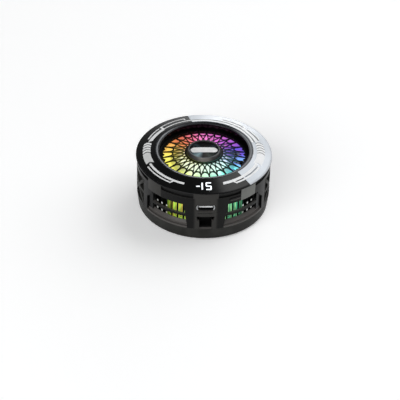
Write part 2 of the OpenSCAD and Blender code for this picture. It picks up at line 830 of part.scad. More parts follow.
module light_ring() { color("#2b2e32") ring(light_in_r, light_out_r, fin_top, grille_flange_z); }

module tact_switch() {
    body_r = switch_tip_r - switch_nub_l;
    switch_h = button_z + switch_over - led_top;
    color(deep_black) at_azimuth(button_azimuth) {
        translate([-switch_w / 2, -body_r, led_top]) cube([switch_w, switch_l, switch_h]);
        front_prism(body_r - 0.2, switch_tip_r) translate([0, button_z]) circle(r = switch_nub_r);
    }
}

module mode_button() {
    flange_l = button_l + 2 * flange_margin;
    flange_h = button_h + 2 * flange_margin;
    color(satin_black) at_azimuth(button_azimuth) union() {
        intersection() {
            post(case_r + button_proud, 0, far);
            front_prism(button_flange_r - button_flange_t / 2, far) translate([0, button_z])
                polygon(stadium(button_l, button_h));
        }
        intersection() {
            ring(button_flange_r - button_flange_t, button_flange_r, 0, far);
            front_prism(0, far) translate([-flange_l / 2, button_z - flange_h / 2])
                square([flange_l, flange_h]);
        }
    }
}

// Deck

// Puts children on the deck's front slope, with y up the slope and z out of it
module on_display() { translate([0, -display_r, deck_z(display_r)]) rotate([deck_angle, 0, 0]) children(); }

module deck_cover() {
    chamfer = 0.15;
    spigot_gap = asin((display_w / 2 + 1.7) / spigot_in_r);
    seat = film_t;
    under = film_t + deck_t;
    port = [display_w + 2 * display_gap, display_h + 2 * display_gap, display_depth + 2];
    color(gloss_black) difference() {
        rotate_extrude() polygon([
            [edge_r, wall_top], [edge_r, deck_edge_h - chamfer], [edge_r - chamfer, deck_z(edge_r - chamfer)],
            [film_out_r, deck_z(film_out_r)], [film_out_r, deck_z(film_out_r) - seat],
            [bezel_out_r, deck_z(bezel_out_r) - seat], [bezel_out_r, bezel_seat_z],
            [bezel_in_r, bezel_seat_z],
            [well_r, lattice_rim_z], [well_r, collar_z], [collar_out_r, collar_z],
            [collar_out_r, bezel_seat_z - deck_t], [bezel_out_r, deck_z(bezel_out_r) - under],
            [spigot_in_r, deck_z(spigot_in_r) - under], [spigot_in_r, wall_top - spigot_h],
            [spigot_out_r, wall_top - spigot_h], [spigot_out_r, wall_top]
        ]);
        sector(-spigot_gap, spigot_gap) band(spigot_in_r - 1, spigot_out_r + slip, 0, wall_top);
        on_display() translate([-port[0] / 2, -port[1] / 2, -port[2]]) cube(port);
    }
}

// Film on the deck between two azimuths
module film(a0, a1) {
    r1 = film_out_r - slip;
    sector(a0, a1) polygon([
        [film_in_r, deck_z(film_in_r) - film_t], [r1, deck_z(r1) - film_t], [r1, deck_z(r1)],
        [film_in_r, deck_z(film_in_r)]
    ]);
}

// Middle, width and height of each segment of a digit, by its usual letter
function segment(c, w) = let (h = digit_h / 2)
    c == "a" ? [0, h, true] :
    c == "b" ? [w / 2, h / 2, false] :
    c == "c" ? [w / 2, -h / 2, false] :
    c == "d" ? [0, -h, true] :
    c == "f" ? [-w / 2, h / 2, false] : [0, 0, true];

// A digit made of round-ended segments
module digit(segments, w = digit_w) {
    for (c = segments) let (s = segment(c, w), l = (s[2] ? w : digit_h / 2) - stroke_gap)
        translate([s[0], s[1]]) rotate([0, 0, s[2] ? 0 : 90])
            polygon(stadium(l + stroke / 2, stroke - stroke_gap, 6));
}

// The reading shown on the display, minus fifteen
module reading() {
    on_display() translate([0, 0, -1]) linear_extrude(2) {
        translate([minus_x, 0]) digit("g", minus_w);
        translate([one_x - digit_w / 2, 0]) digit("bc");
        translate([five_x, 0]) digit("afgcd");
    }
}

module black_film() { film(film_seam_back + film_gap, 360 + film_seam_front - film_gap); }

module deck_film_black() {
    color(deep_black) difference() {
        black_film();
        reading();
    }
}

module deck_film_silver() { color(silver) film(film_seam_front + film_gap, film_seam_back - film_gap); }

module display_digits() {
    color(white) intersection() {
        black_film();
        reading();
    }
}

module display_module() {
    drop = film_t + 0.3;
    color(deep_black) on_display() translate([-display_w / 2, -display_h / 2, -drop - display_depth])
        cube([display_w, display_h, display_depth]);
}

module bezel_ring() {
    round_w = 0.2;
    out_r = bezel_out_r - slip;
    color(gunmetal) rotate_extrude() polygon([
        [bezel_in_r, bezel_seat_z], [out_r, bezel_seat_z],
        [out_r, crest_h - round_w / 2], [out_r - round_w, crest_h],
        [bezel_in_r + round_w, crest_h - bezel_drop], [bezel_in_r, crest_h - bezel_drop - round_w]
    ]);
}

// Grille

lattice_half = 180 / lattice_count;
crossbar_r = apex_r + 0.38 * (lattice_out_r - apex_r);
petal_in_r = crossbar_r + rib_w / 2;
petal_out_r = lattice_out_r - 0.1;
petal_dome = 1.5;
petal_notch = 1.5;
rim_hole_r = 0.35;
cell_tip = 0.5;

// Half a rib's width as an angle at a radius
function rib_angle(r) = rib_w / 2 / r * 180 / PI;

// Angle between a rib and the crossing that it passes through, at a radius
function leg_angle(r) = r > apex_r
    ? lattice_half * (1 - pow((lattice_out_r - r) / (lattice_out_r - apex_r), 2.6))
    : lattice_half * (apex_r - r) / (apex_r - lattice_in_r);

// Half width of an opening as an angle, between the legs or beside them
function between_legs(r) = max(0.2, leg_angle(r) - rib_angle(r));
function beside_legs(r) = max(0.2, lattice_half - leg_angle(r) - rib_angle(r));

// Radii in even steps
function steps(r0, r1, n) = [for (i = [0 : n]) r0 + (r1 - r0) * i / n];

// Tall opening beside the legs, pointed at both ends
function leaf() = let (
    rs = steps(apex_r - 0.66 * (apex_r - lattice_in_r), apex_r + 0.5 * (lattice_out_r - apex_r), 5)
) concat(
    [for (r = rs) polar(r, lattice_half + beside_legs(r))],
    [for (i = [len(rs) - 1 : -1 : 0]) polar(rs[i], lattice_half - beside_legs(rs[i]))]
);

// Opening between the legs from one radius to another
function between(r0, r1, n) = let (rs = steps(r0, r1, n)) concat(
    [for (r = rs) polar(r, between_legs(r))],
    [for (i = [n : -1 : 0]) polar(rs[i], -between_legs(rs[i]))]
);

// Half width of a petal as an angle: the legs bound it, and its inner end is a dome
function petal_half(r) = let (dip = max(0, (petal_in_r + petal_dome - r) / petal_dome))
    between_legs(r) * sqrt(1 - dip * dip);

// Outer opening between the legs, domed at its inner end and notched at its outer end
function petal() = let (
    rs = concat([for (a = [0 : 30 : 60]) petal_in_r + petal_dome * (1 - cos(a))],
        steps(petal_in_r + petal_dome, petal_out_r, 2))
) concat(
    [for (r = rs) polar(r, petal_half(r))],
    [polar(petal_out_r - petal_notch, 0)],
    [for (i = [len(rs) - 1 : -1 : 1]) polar(rs[i], -petal_half(rs[i]))]
);

module lattice() {
    difference() {
        circle(r = grille_r - grille_rim_t / 2);
        for (k = [0 : lattice_count - 1]) rotate([0, 0, k * 2 * lattice_half]) {
            polygon(leaf());
            polygon(between(lattice_in_r, apex_r - cell_tip, 1));
            polygon(between(apex_r + 0.11 * (lattice_out_r - apex_r), crossbar_r - rib_w / 2, 2));
            polygon(petal());
            translate([0, -petal_out_r + rim_hole_r]) circle(r = rim_hole_r, $fn = 6);
        }
    }
}

module fan_grille() {
    out_r = grille_r - grille_rim_t / 2;
    hub_seat_r = hub_r + hub_flare + 0.2;
    color(deep_black) union() {
        intersection() {
            rotate_extrude() polygon([
                [0, lattice_hub_z - lattice_t], [hub_r, lattice_hub_z - lattice_t],
                [out_r, lattice_rim_z - lattice_t], [out_r, lattice_rim_z],
                [hub_r, lattice_hub_z], [0, lattice_hub_z]
            ]);
            translate([0, 0, collar_z - 1]) linear_extrude(far) lattice();
        }
        post(hub_seat_r, lattice_hub_z - lattice_t, lattice_hub_z + 0.1);
        ring(grille_r - grille_rim_t, grille_r, grille_flange_z, lattice_rim_z);
        ring(grille_r - grille_rim_t, grille_flange_r, grille_flange_z, collar_z);
    }
}

hub_z = lattice_hub_z + 0.1;
hub_rim_t = 0.7;
badge_r = hub_r - hub_rim_t - slip;
badge_z = hub_z + hub_rim_h - 1.2;
badge_edge_h = 0.35;
badge_rise = 0.35;
badge_dome_r = (badge_r * badge_r + badge_rise * badge_rise) / (2 * badge_rise);
band_t = 0.12;
band_inset = 0.5;

// Ball whose top is the badge's dome, raised by a height
module badge_ball(lift) {
    translate([0, 0, badge_z + badge_edge_h + badge_rise - badge_dome_r + lift])
        sphere(r = badge_dome_r, $fn = 400);
}

module hub_cap() {
    bevel = 0.2;
    color(gloss_black) rotate_extrude() polygon([
        [0, hub_z], [hub_r + hub_flare, hub_z], [hub_r, hub_z + hub_rim_h - bevel],
        [hub_r - bevel, hub_z + hub_rim_h],
        [hub_r - hub_rim_t, hub_z + hub_rim_h], [hub_r - hub_rim_t, badge_z], [0, badge_z]
    ]);
}

module hub_badge() {
    color(deep_black) intersection() {
        post(badge_r, badge_z, badge_z + far);
        badge_ball(0);
    }
}

module hub_band() {
    end_x = badge_r - band_inset - hub_band_w / 2;
    color(silver) difference() {
        intersection() {
            hull() for (side = [-1, 1])
                translate([side * end_x, 0, badge_z]) cylinder(d = hub_band_w, h = far);
            badge_ball(band_t);
        }
        badge_ball(0);
    }
}

// Fan

module fan_base() {
    color(satin_black) difference() {
        union() {
            post(fan_base_r, sink_top, fan_base_top);
            post(tube_out_r, sink_top, tube_top);
        }
        post(tube_in_r, sink_top + thrust_t, far);
        at_each(fan_screw_azimuths, fan_screw_r) post(small_shank_r + screw_gap, 0, far);
    }
}

module fan_screws() {
    color(steel) at_each(fan_screw_azimuths, fan_screw_r) small_screw(fan_base_top, sink_z + 0.6);
}

module fan_board() {
    color("#1f5b3a") ring(tube_out_r + slip, fan_board_r, fan_base_top, fan_base_top + fan_board_t);
}

module fan_leads() {
    start_r = fan_board_r + slip;
    color("#222226") for (x = [2.6, 3.8]) lead(x, sqrt(start_r * start_r - x * x), fan_lead_z, fan_lead_r);
}

pole_w = 1.6;
shoe_t = 0.7;
core_ring_r = tube_out_r + slip + 1;

module stator_core() {
    shoe_angle = 360 / pole_count - 22;
    color("#5d6166") difference() {
        union() {
            ring(tube_out_r + slip, core_ring_r, stator_z, stator_top);
            for (i = [0 : pole_count - 1]) at_azimuth(i * 360 / pole_count) {
                translate([-pole_w / 2, -stator_r + shoe_t / 2, stator_z])
                    cube([pole_w, stator_r - shoe_t / 2 - core_ring_r + 0.3, stator_h]);
                sector(-shoe_angle / 2, shoe_angle / 2)
                    band(stator_r - shoe_t, stator_r, stator_z, stator_top);
            }
        }
        post(tube_out_r + slip, 0, far);
    }
}

module stator_coils() {
    r0 = core_ring_r + 0.15;
    r1 = sqrt(pow(stator_r - shoe_t, 2) - pow(pole_w / 2 + coil_over, 2)) - 0.15;
    grip = pole_w + 2 * slip;
    color("#b4622d") for (i = [0 : pole_count - 1]) at_azimuth(i * 360 / pole_count) difference() {
        translate([-pole_w / 2 - coil_over, -r1, stator_z - coil_over])
            cube([pole_w + 2 * coil_over, r1 - r0, stator_h + 2 * coil_over]);
        translate([-grip / 2, -far, stator_z - slip]) cube([grip, far, stator_h + 2 * slip]);
    }
}

module bearing_sleeve() { color("#b08d4a") ring(shaft_r + bearing_gap, sleeve_r, sleeve_z, tube_top - 0.2); }

module shaft() { color(steel) post(shaft_r, shaft_z, shaft_top); }

module shaft_clip() { color(steel) ring(shaft_r + thread_gap, sleeve_r - 0.6, clip_z, clip_z + clip_t); }

// One cambered blade, with its root at the hub and its tip at the front
module blade() {
    axis_z = blade_top - camber_r * cos(blade_start);
    low_z = axis_z + camber_r * cos(blade_end);
    intersection() {
        ring(impeller_hub_r - 0.3, blade_tip_r, low_z, blade_top);
        translate([0, 0, axis_z]) rotate([90, 0, 0]) difference() {
            cylinder(r = camber_r, h = far);
            translate([0, 0, -1]) cylinder(r = camber_r - blade_t, h = far + 2);
        }
        translate([camber_r * sin(blade_start), -far, 0]) cube([camber_r, far - 2, far]);
    }
}

module impeller() {
    color("#e4efe9") difference() {
        union() {
            ring(impeller_in_r, impeller_hub_r, rotor_z, hub_top);
            post(impeller_hub_r - 0.1, hub_plate_z, hub_top);
            for (i = [0 : blade_count - 1]) at_azimuth(i * 360 / blade_count) blade();
        }
        post(shaft_r + thread_gap, hub_plate_z - 1, shaft_top);
    }
}

module rotor_yoke() {
    color("#7c8086") {
        ring(yoke_in_r, yoke_out_r, rotor_z + 0.2, yoke_top);
        ring(shaft_r + thread_gap, yoke_out_r - 0.1, yoke_top - rotor_yoke_t, yoke_top);
    }
}

module rotor_magnet() {
    color("#3d3f43") ring(rotor_magnet_in_r, rotor_magnet_out_r, rotor_z + 0.2, stator_top + 0.4);
}

silicone_ring();
thermal_pad();
base_shell();
cold_plate();
ring_magnets();
magnet_yoke();
peltier_cold_ceramic();
peltier_pellets();
peltier_hot_ceramic();
peltier_leads();
insulation_gasket();
heat_sink();
heat_sink_screws();
side_shell();
truss_panel_right();
truss_panel_left();
case_screws();
main_board();
usb_c_shell();
usb_c_tongue();
led_board();
led_chips();
light_ring();
mode_button();
tact_switch();
deck_cover();
deck_film_black();
deck_film_silver();
display_module();
display_digits();
bezel_ring();
fan_grille();
hub_cap();
hub_badge();
hub_band();
fan_base();
fan_screws();
fan_board();
fan_leads();
stator_core();
stator_coils();
bearing_sleeve();
shaft();
shaft_clip();
impeller();
rotor_yoke();
rotor_magnet();
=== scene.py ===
import json
import math

import bmesh
import bpy
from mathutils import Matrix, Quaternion, Vector


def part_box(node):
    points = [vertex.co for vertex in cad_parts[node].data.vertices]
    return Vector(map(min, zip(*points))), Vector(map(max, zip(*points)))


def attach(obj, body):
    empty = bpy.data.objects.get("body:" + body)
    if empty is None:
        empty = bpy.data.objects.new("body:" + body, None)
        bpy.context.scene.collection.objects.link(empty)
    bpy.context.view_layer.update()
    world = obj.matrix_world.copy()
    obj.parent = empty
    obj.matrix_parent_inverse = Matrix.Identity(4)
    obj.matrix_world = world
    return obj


# Looks of the magnetic cooling fan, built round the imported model.
# Azimuths are degrees from the front, positive towards +X. Sizes are in metres unless a name says mm.
# A name that ends in EDGE is a pair: where paint, light or shade starts and where it is full.
# A tilt is how far a surface faces up, and a share is how much of its radius lies along X or Y.

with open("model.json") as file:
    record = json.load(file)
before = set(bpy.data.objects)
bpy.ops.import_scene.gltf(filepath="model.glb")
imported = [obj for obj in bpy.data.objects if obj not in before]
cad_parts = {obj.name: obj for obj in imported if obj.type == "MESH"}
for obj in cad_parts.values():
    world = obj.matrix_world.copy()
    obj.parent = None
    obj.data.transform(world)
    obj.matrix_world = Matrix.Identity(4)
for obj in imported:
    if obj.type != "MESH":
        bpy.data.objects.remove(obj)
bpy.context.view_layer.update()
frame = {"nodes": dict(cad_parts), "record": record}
NODES = frame["nodes"]

MM = 0.001

# Camera: where it stands, what it aims at, how far it leans,
# and its focal length in pixels of the photograph
CAMERA_PLACE = Vector((-28.14, -575.28, 443.17)) * MM
CAMERA_AIM = Vector((-1.405, -0.755, 0.0)) * MM
CAMERA_LEAN = math.radians(1.525)
FOCAL_PIXELS = 1442.8
IMAGE_PIXELS = 400
SENSOR_MM = 36.0
CLIP_START = 0.01

# Deck, as in the solid model
DECK_EDGE_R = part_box("deck_cover")[1].x
DECK_EDGE_Z = 28.5 * MM
CREST_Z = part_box("bezel_ring")[1].z
DECK_WIDTH = 9.3 * MM
DECK_SLOPE = (CREST_Z - DECK_EDGE_Z) / DECK_WIDTH
LIP_WIDTH = 0.9 * MM
LIP_TOP = DECK_EDGE_Z - 0.1 * MM
SEAM_FRONT = 39.8
SEAM_BACK = 192.7
FRONT_PAD_HALF = 10.5
WELL_R = 22.1 * MM

# Wall, as in the solid model
WALL_R = 33.0 * MM
GROOVE_Z = 25.2 * MM
WINDOW_TOP = 20.9 * MM
WINDOW_START = 15.6
WINDOW_TIP = 57.9
SILL_R = WALL_R - 1.0 * MM
SILL_FOOT = 8.0 * MM
SILL_STRIP = 1.4 * MM
SLOT_TOP = 14.6 * MM
SLOT_HALF = 4.5 * MM
RIGHT_PAD = 31.0
LEFT_PAD = -56.5
PAD_ANGLE = 16.0

# Widths over which paint on plastic fades: a length, an angle and a share of a turn
FADE = 0.1 * MM
FADE_DEGREES = 0.2
FADE_TURN = 1e-4

# Lighter grey of the pads: partly a satin finish, partly painted reflection
PAD_SATIN_AND_SHEEN = "#32312f"

# Colours of the light under the grille, by azimuth
GLOW_COLOURS = [
    (-180, "#fa84d0"), (-165, "#ee7890"), (-150, "#ea7a58"), (-135, "#f29a54"), (-118, "#f4d060"),
    (-100, "#fff06a"), (-60, "#fbfb70"), (-35, "#eefa86"), (-15, "#ccf4a0"), (5, "#98f0be"),
    (35, "#86f6e4"), (65, "#80eef6"), (82, "#84c4f6"), (98, "#7a8cf0"), (117, "#6a54d8"),
    (138, "#b466dc"), (160, "#e674d6"), (180, "#fa84d0"),
]

# Painted sheen on the hub's badge: wedges of painted reflection, by azimuth
BADGE_PAINTED_SHEEN = [
    (-180, "#0b0a0a"), (-155, "#0c0f10"), (-138, "#2e3b40"), (-122, "#0c1011"), (-85, "#11171a"),
    (-62, "#5b6d74"), (-38, "#8ba3aa"), (-22, "#5c6b70"), (-10, "#2c2d2d"), (6, "#3a3836"),
    (28, "#434845"), (48, "#2b302e"), (72, "#0d100f"), (105, "#1d2328"), (124, "#303842"),
    (142, "#0e1113"), (162, "#0a0909"), (180, "#0b0a0a"),
]


def linear(colour):
    """Linear RGBA of a hex colour."""
    channels = [int(colour[i:i + 2], 16) / 255 for i in (1, 3, 5)]
    return [c / 12.92 if c <= 0.04045 else ((c + 0.055) / 1.055) ** 2.4 for c in channels] + [1.0]


def scaled(rgba, factor):
    """The colour made lighter or darker."""
    return [min(1.0, c * factor) for c in rgba[:3]] + [1.0]


def fill_ramp(ramp, stops):
    """Sets the stops of a colour ramp."""
    while len(ramp.elements) < len(stops):
        ramp.elements.new(1.0)
    for element, (position, colour) in zip(ramp.elements, stops):
        element.position = position
        element.color = colour


# Materials

class Finish:
    """A material made of nodes, with short ways to add to it."""

    def __init__(self, name, **sockets):
        self.material = bpy.data.materials.new(name)
        self.material.use_nodes = True
        self.tree = self.material.node_tree
        self.shader = self.tree.nodes["Principled BSDF"]
        self.place = self.node("TexCoord").outputs["Object"]
        for socket, value in sockets.items():
            self.feed(socket.replace("_", " "), value)

    def put(self, socket, value):
        """Links another node to a socket, or sets a plain value on it."""
        if isinstance(value, bpy.types.NodeSocket):
            self.tree.links.new(value, socket)
        else:
            socket.default_value = value

    def feed(self, name, value):
        """Links or sets one of the shader's own sockets."""
        self.put(self.shader.inputs[name], value)

    def node(self, kind, inputs=None, **settings):
        """New node with its settings and inputs filled in."""
        made = self.tree.nodes.new("ShaderNode" + kind)
        for key, value in settings.items():
            setattr(made, key, value)
        for key, value in (inputs or {}).items():
            self.put(made.inputs[key], value)
        return made

    def math(self, operation, *values):
        """One step of arithmetic."""
        made = self.node("Math", operation=operation)
        for socket, value in zip(made.inputs, values):
            self.put(socket, value)
        return made.outputs[0]

    def between(self, value, low, high):
        """0 below low, 1 above high and a smooth step between. It falls where low is the larger."""
        limits = {"Value": value, "From Min": low, "From Max": high}
        return self.node("MapRange", limits, interpolation_type="SMOOTHSTEP").outputs["Result"]

    def inside(self, value, low, high, fade):
        """1 from low to high, fading over a width at both ends."""
        return self.all_of(self.between(value, low, low + fade), self.between(value, high, high - fade))

    def all_of(self, *masks):
        """1 where every mask is 1. A plain number weakens the others."""
        product = masks[0]
        for mask in masks[1:]:
            product = self.math("MULTIPLY", product, mask)
        return product

    def any_of(self, *masks):
        """1 where one of the masks is 1."""
        highest = masks[0]
        for mask in masks[1:]:
            highest = self.math("MAXIMUM", highest, mask)
        return highest

    def none_of(self, mask):
        """1 where the mask is 0."""
        return self.math("SUBTRACT", 1.0, mask)

    def ramp(self, factor, stops):
        """Colours along a factor from 0 to 1."""
        made = self.node("ValToRGB", {"Fac": factor})
        fill_ramp(made.color_ramp, stops)
        return made.outputs["Color"]

    def mix(self, factor, a, b):
        """Colour that goes from a to b with the factor."""
        made = self.node("Mix", data_type="RGBA")
        colour_a, colour_b = [s for s in made.inputs if s.type == "RGBA"]
        self.put(made.inputs["Factor"], factor)
        self.put(colour_a, a)
        self.put(colour_b, b)
        return [s for s in made.outputs if s.type == "RGBA"][0]

    def noise(self, size_mm, detail=3.0, stretch=None):
        """Noise whose features are about that many millimetres wide."""
        place = self.place
        if stretch:
            place = self.node("Mapping", {"Vector": place, "Scale": stretch}).outputs["Vector"]
        made = self.node("TexNoise", {"Vector": place, "Scale": 1 / (size_mm * MM), "Detail": detail})
        return made.outputs["Fac"]

    def cells(self, size_mm):
        """Small cells, as the distance from the middle of each."""
        made = self.node("TexVoronoi", {"Vector": self.place, "Scale": 1 / (size_mm * MM)})
        return made.outputs["Distance"]

    def axes(self):
        """X, Y and Z of the surface in the part's frame, which stay put when a piece turns."""
        position = self.node("NewGeometry").outputs["Position"]
        return self.node("SeparateXYZ", {"Vector": position}).outputs

    def height(self):
        """Height of the surface in the part's frame."""
        return self.axes()["Z"]

    def radius(self):
        """Distance of the surface from the part's axis."""
        x, y, _ = self.axes()
        return self.math("SQRT", self.math("ADD", self.math("MULTIPLY", x, x), self.math("MULTIPLY", y, y)))

    def share(self, coordinate, radius):
        """How much of the distance from the part's axis lies along X or Y, from 0 to 1."""
        return self.math("DIVIDE", self.math("ABSOLUTE", coordinate), self.math("MAXIMUM", radius, MM))

    def facing_up(self):
        """How far the surface faces up, from -1 to 1."""
        normal = self.node("NewGeometry").outputs["True Normal"]
        return self.node("SeparateXYZ", {"Vector": normal}).outputs["Z"]

    def azimuth(self):
        """Azimuth as a share of a turn: 0 and 1 at the back, 0.5 at the front."""
        x, y, _ = self.axes()
        angle = self.math("ARCTAN2", x, self.math("MULTIPLY", y, -1.0))
        return self.math("ADD", self.math("DIVIDE", angle, math.tau), 0.5)

    def degrees(self):
        """Azimuth from -180 to 180."""
        return self.math("MULTIPLY", self.math("SUBTRACT", self.azimuth(), 0.5), 360.0)

    def by_azimuth(self, colours):
        """Colours round the part's axis, from pairs of an azimuth and a hex colour."""
        return self.ramp(self.azimuth(), [((a + 180) / 360, linear(colour)) for a, colour in colours])

    def soften(self, radius_mm):
        """Lets light catch the edges as if they were rounded."""
        made = self.node("Bevel", {"Radius": radius_mm * MM}, samples=6)
        self.feed("Normal", made.outputs["Normal"])

    def repaint(self, mask, colour):
        """Another base colour where the mask is 1."""
        plain = self.shader.inputs["Base Color"].links[0].from_socket
        self.feed("Base Color", self.mix(mask, plain, linear(colour)))

    def tint(self, colour, spread, size_mm):
        """Base colour that drifts a little over the surface."""
        base = linear(colour)
        stops = [(0.3, scaled(base, 1 - spread)), (0.7, scaled(base, 1 + spread))]
        self.feed("Base Color", self.ramp(self.noise(size_mm), stops))

    def roughen(self, roughness, spread, size_mm):
        """Roughness that varies as handling marks do."""
        marks = self.noise(size_mm, detail=4.0)
        limits = {"Value": marks, "To Min": roughness - spread, "To Max": roughness + spread}
        self.feed("Roughness", self.node("MapRange", limits).outputs["Result"])

    def bump(self, height, depth_mm, strength=1.0):
        """Adds relief of that depth over any that is there."""
        inputs = {"Height": height, "Distance": depth_mm * MM, "Strength": strength}
        links = self.shader.inputs["Normal"].links
        if links:
            inputs["Normal"] = links[0].from_socket
        self.feed("Normal", self.node("Bump", inputs).outputs["Normal"])

    def glow(self, colour, strength):
        """Light that the surface gives off."""
        self.feed("Emission Color", colour)
        self.feed("Emission Strength", strength)


def moulded(name, colour, roughness, grain_mm, relief_mm, specular=0.28):
    """Moulded plastic: a fine grain, a slow drift of tone and uneven gloss."""
    made = Finish(name, Specular_IOR_Level=specular)
    made.soften(radius_mm=0.15)
    made.tint(colour, spread=0.3, size_mm=6.0)
    made.roughen(roughness, spread=0.25 * roughness, size_mm=4.0)
    made.bump(made.noise(grain_mm, detail=2.0), depth_mm=relief_mm, strength=0.6)
    return made


def metal(name, colour, roughness, line_mm, stretch, relief_mm=0.004, metallic=1.0):
    """Metal with lines left by brushing or turning."""
    made = Finish(name, Metallic=metallic)
    made.tint(colour, spread=0.12, size_mm=3.0)
    made.roughen(roughness, spread=0.2 * roughness, size_mm=2.0)
    made.bump(made.noise(line_mm, detail=2.0, stretch=stretch), depth_mm=relief_mm, strength=0.5)
    return made


def soft(name, colour, roughness, cell_mm, relief_mm):
    """Rubber, gel or foam with small cells."""
    made = Finish(name, Specular_IOR_Level=0.3)
    made.tint(colour, spread=0.18, size_mm=2.0)
    made.roughen(roughness, spread=0.08, size_mm=3.0)
    made.bump(made.cells(cell_mm), depth_mm=relief_mm, strength=0.5)
    return made


def printed(name, colour, roughness):
    """Printed ink with a faint screen texture."""
    made = Finish(name, Specular_IOR_Level=0.4)
    made.tint(colour, spread=0.04, size_mm=1.5)
    made.roughen(roughness, spread=0.06, size_mm=1.0)
    made.bump(made.noise(0.12, detail=1.0), depth_mm=0.002, strength=0.15)
    return made


TRACK_SCALE = 420.0


def board(name, colour):
    """Circuit board: solder mask over a grid of copper tracks."""
    made = Finish(name, Specular_IOR_Level=0.5)
    base = linear(colour)
    tracks = made.node("TexBrick", {
        "Vector": made.place, "Scale": TRACK_SCALE, "Mortar Size": 0.03,
        "Color1": base, "Color2": scaled(base, 0.8), "Mortar": scaled(base, 2.2),
    })
    made.feed("Base Color", tracks.outputs["Color"])
    made.roughen(0.35, spread=0.08, size_mm=1.0)
    made.bump(tracks.outputs["Fac"], depth_mm=0.03, strength=0.4)
    return made


WIRE_SCALE = 900.0


def wound_copper():
    """Enamelled wire laid in turns."""
    made = Finish("copper", Metallic=0.9)
    made.tint("#b4622d", spread=0.15, size_mm=1.0)
    inputs = {"Vector": made.place, "Scale": WIRE_SCALE, "Distortion": 1.0}
    turns = made.node("TexWave", inputs, bands_direction="Z")
    made.roughen(0.35, spread=0.08, size_mm=1.0)
    made.bump(turns.outputs["Fac"], depth_mm=0.1, strength=0.6)
    return made


# Pieces that glow: lamps of their own, or a painted glow that stands in for the fan's light

# Painted glow on the blades, standing in for the fan's light: whiter at the root, with a painted highlight
# towards the front and painted shade half way out at the sides
WHITE_ROOT_EDGE = (16.0 * MM, 10.5 * MM)
FRONT_HIGHLIGHT_EDGE = (10.0 * MM, -6.0 * MM)
SHADE_INNER_EDGE = (11.0 * MM, 12.0 * MM)
SHADE_OUTER_EDGE = (17.0 * MM, 15.8 * MM)
SHADE_SHARE_EDGE = (0.55, 0.85)
SHADE_DEPTH = 0.6


def lit_impeller():
    """Milky plastic with a painted glow that stands in for light from inside, whiter near the hub, with a
    painted highlight strongest at the front.

    The middle of the blades has painted shade on the left and the right.
    """
    made = Finish("milky_lit", Roughness=0.45, Specular_IOR_Level=0.4)
    x, y, _ = made.axes()
    r = made.radius()
    colour = made.by_azimuth(GLOW_COLOURS)
    # painted highlight: the glow turns whiter near the hub, most of all towards the front
    front = made.between(y, *FRONT_HIGHLIGHT_EDGE)
    white = made.all_of(made.between(r, *WHITE_ROOT_EDGE), made.math("MULTIPLY_ADD", front, 0.4, 0.5))
    # painted shade half way out at the sides
    side = made.between(made.share(x, r), *SHADE_SHARE_EDGE)
    middle = made.all_of(made.between(r, *SHADE_INNER_EDGE), made.between(r, *SHADE_OUTER_EDGE))
    shade = made.all_of(side, middle, SHADE_DEPTH)
    level = made.math("MULTIPLY_ADD", made.noise(5.0), 0.25, 0.8)
    made.feed("Base Color", made.mix(0.5, linear("#6c7370"), colour))
    made.glow(made.mix(white, colour, linear("#f4fff6")), made.all_of(level, made.none_of(shade)))
    made.bump(made.noise(0.4, detail=2.0), depth_mm=0.004, strength=0.5)
    return made


RING_LIGHT_EDGE = (25.2 * MM, 24.8 * MM)


def lit_light_ring():
    """Smoked ring round the fan whose lower part glows inwards."""
    made = moulded("smoked_lit", "#0b0c0d", roughness=0.3, grain_mm=1.5, relief_mm=0.003, specular=0.2)
    low = made.between(made.height(), *RING_LIGHT_EDGE)
    level = made.math("MULTIPLY_ADD", made.noise(3.0), 0.5, 0.65)
    made.glow(made.by_azimuth(GLOW_COLOURS), made.all_of(low, level))
    return made


# Painted glow between the fins, standing in for the fan's light, and painted glints on the fin ends
FIN_END_R = 29.3 * MM
FIN_BAND = 1.3 * MM
FIN_SIDE_EDGE = (FIN_END_R, FIN_END_R - 0.4 * MM)
FIN_END_EDGE = (FIN_END_R - 0.05 * MM, FIN_END_R + 0.05 * MM)
GAP_SHARE_EDGE = (math.cos(math.radians(41)), math.cos(math.radians(34)))
UPPER_ROW_EDGE = (12.0 * MM, 14.5 * MM)
UNDER_FAN_EDGE = (24.5 * MM, 23.5 * MM)
FRONT_HALF_EDGE = (2.0 * MM, -2.0 * MM)
LEFT_GREEN_EDGE = (-4.0 * MM, -8.0 * MM)
RIGHT_GREEN_EDGE = (4.0 * MM, 8.0 * MM)
WARM_EDGE = (0.42, 0.58)
GREEN_SHARE = 0.8
GLINT_SHARE_EDGE = (0.55, 0.62)
UPPER_GLINTS = (13.2 * MM, 14.6 * MM)
LOWER_GLINTS = (8.8 * MM, 10.4 * MM)
GLINT_FADE = 0.5 * MM


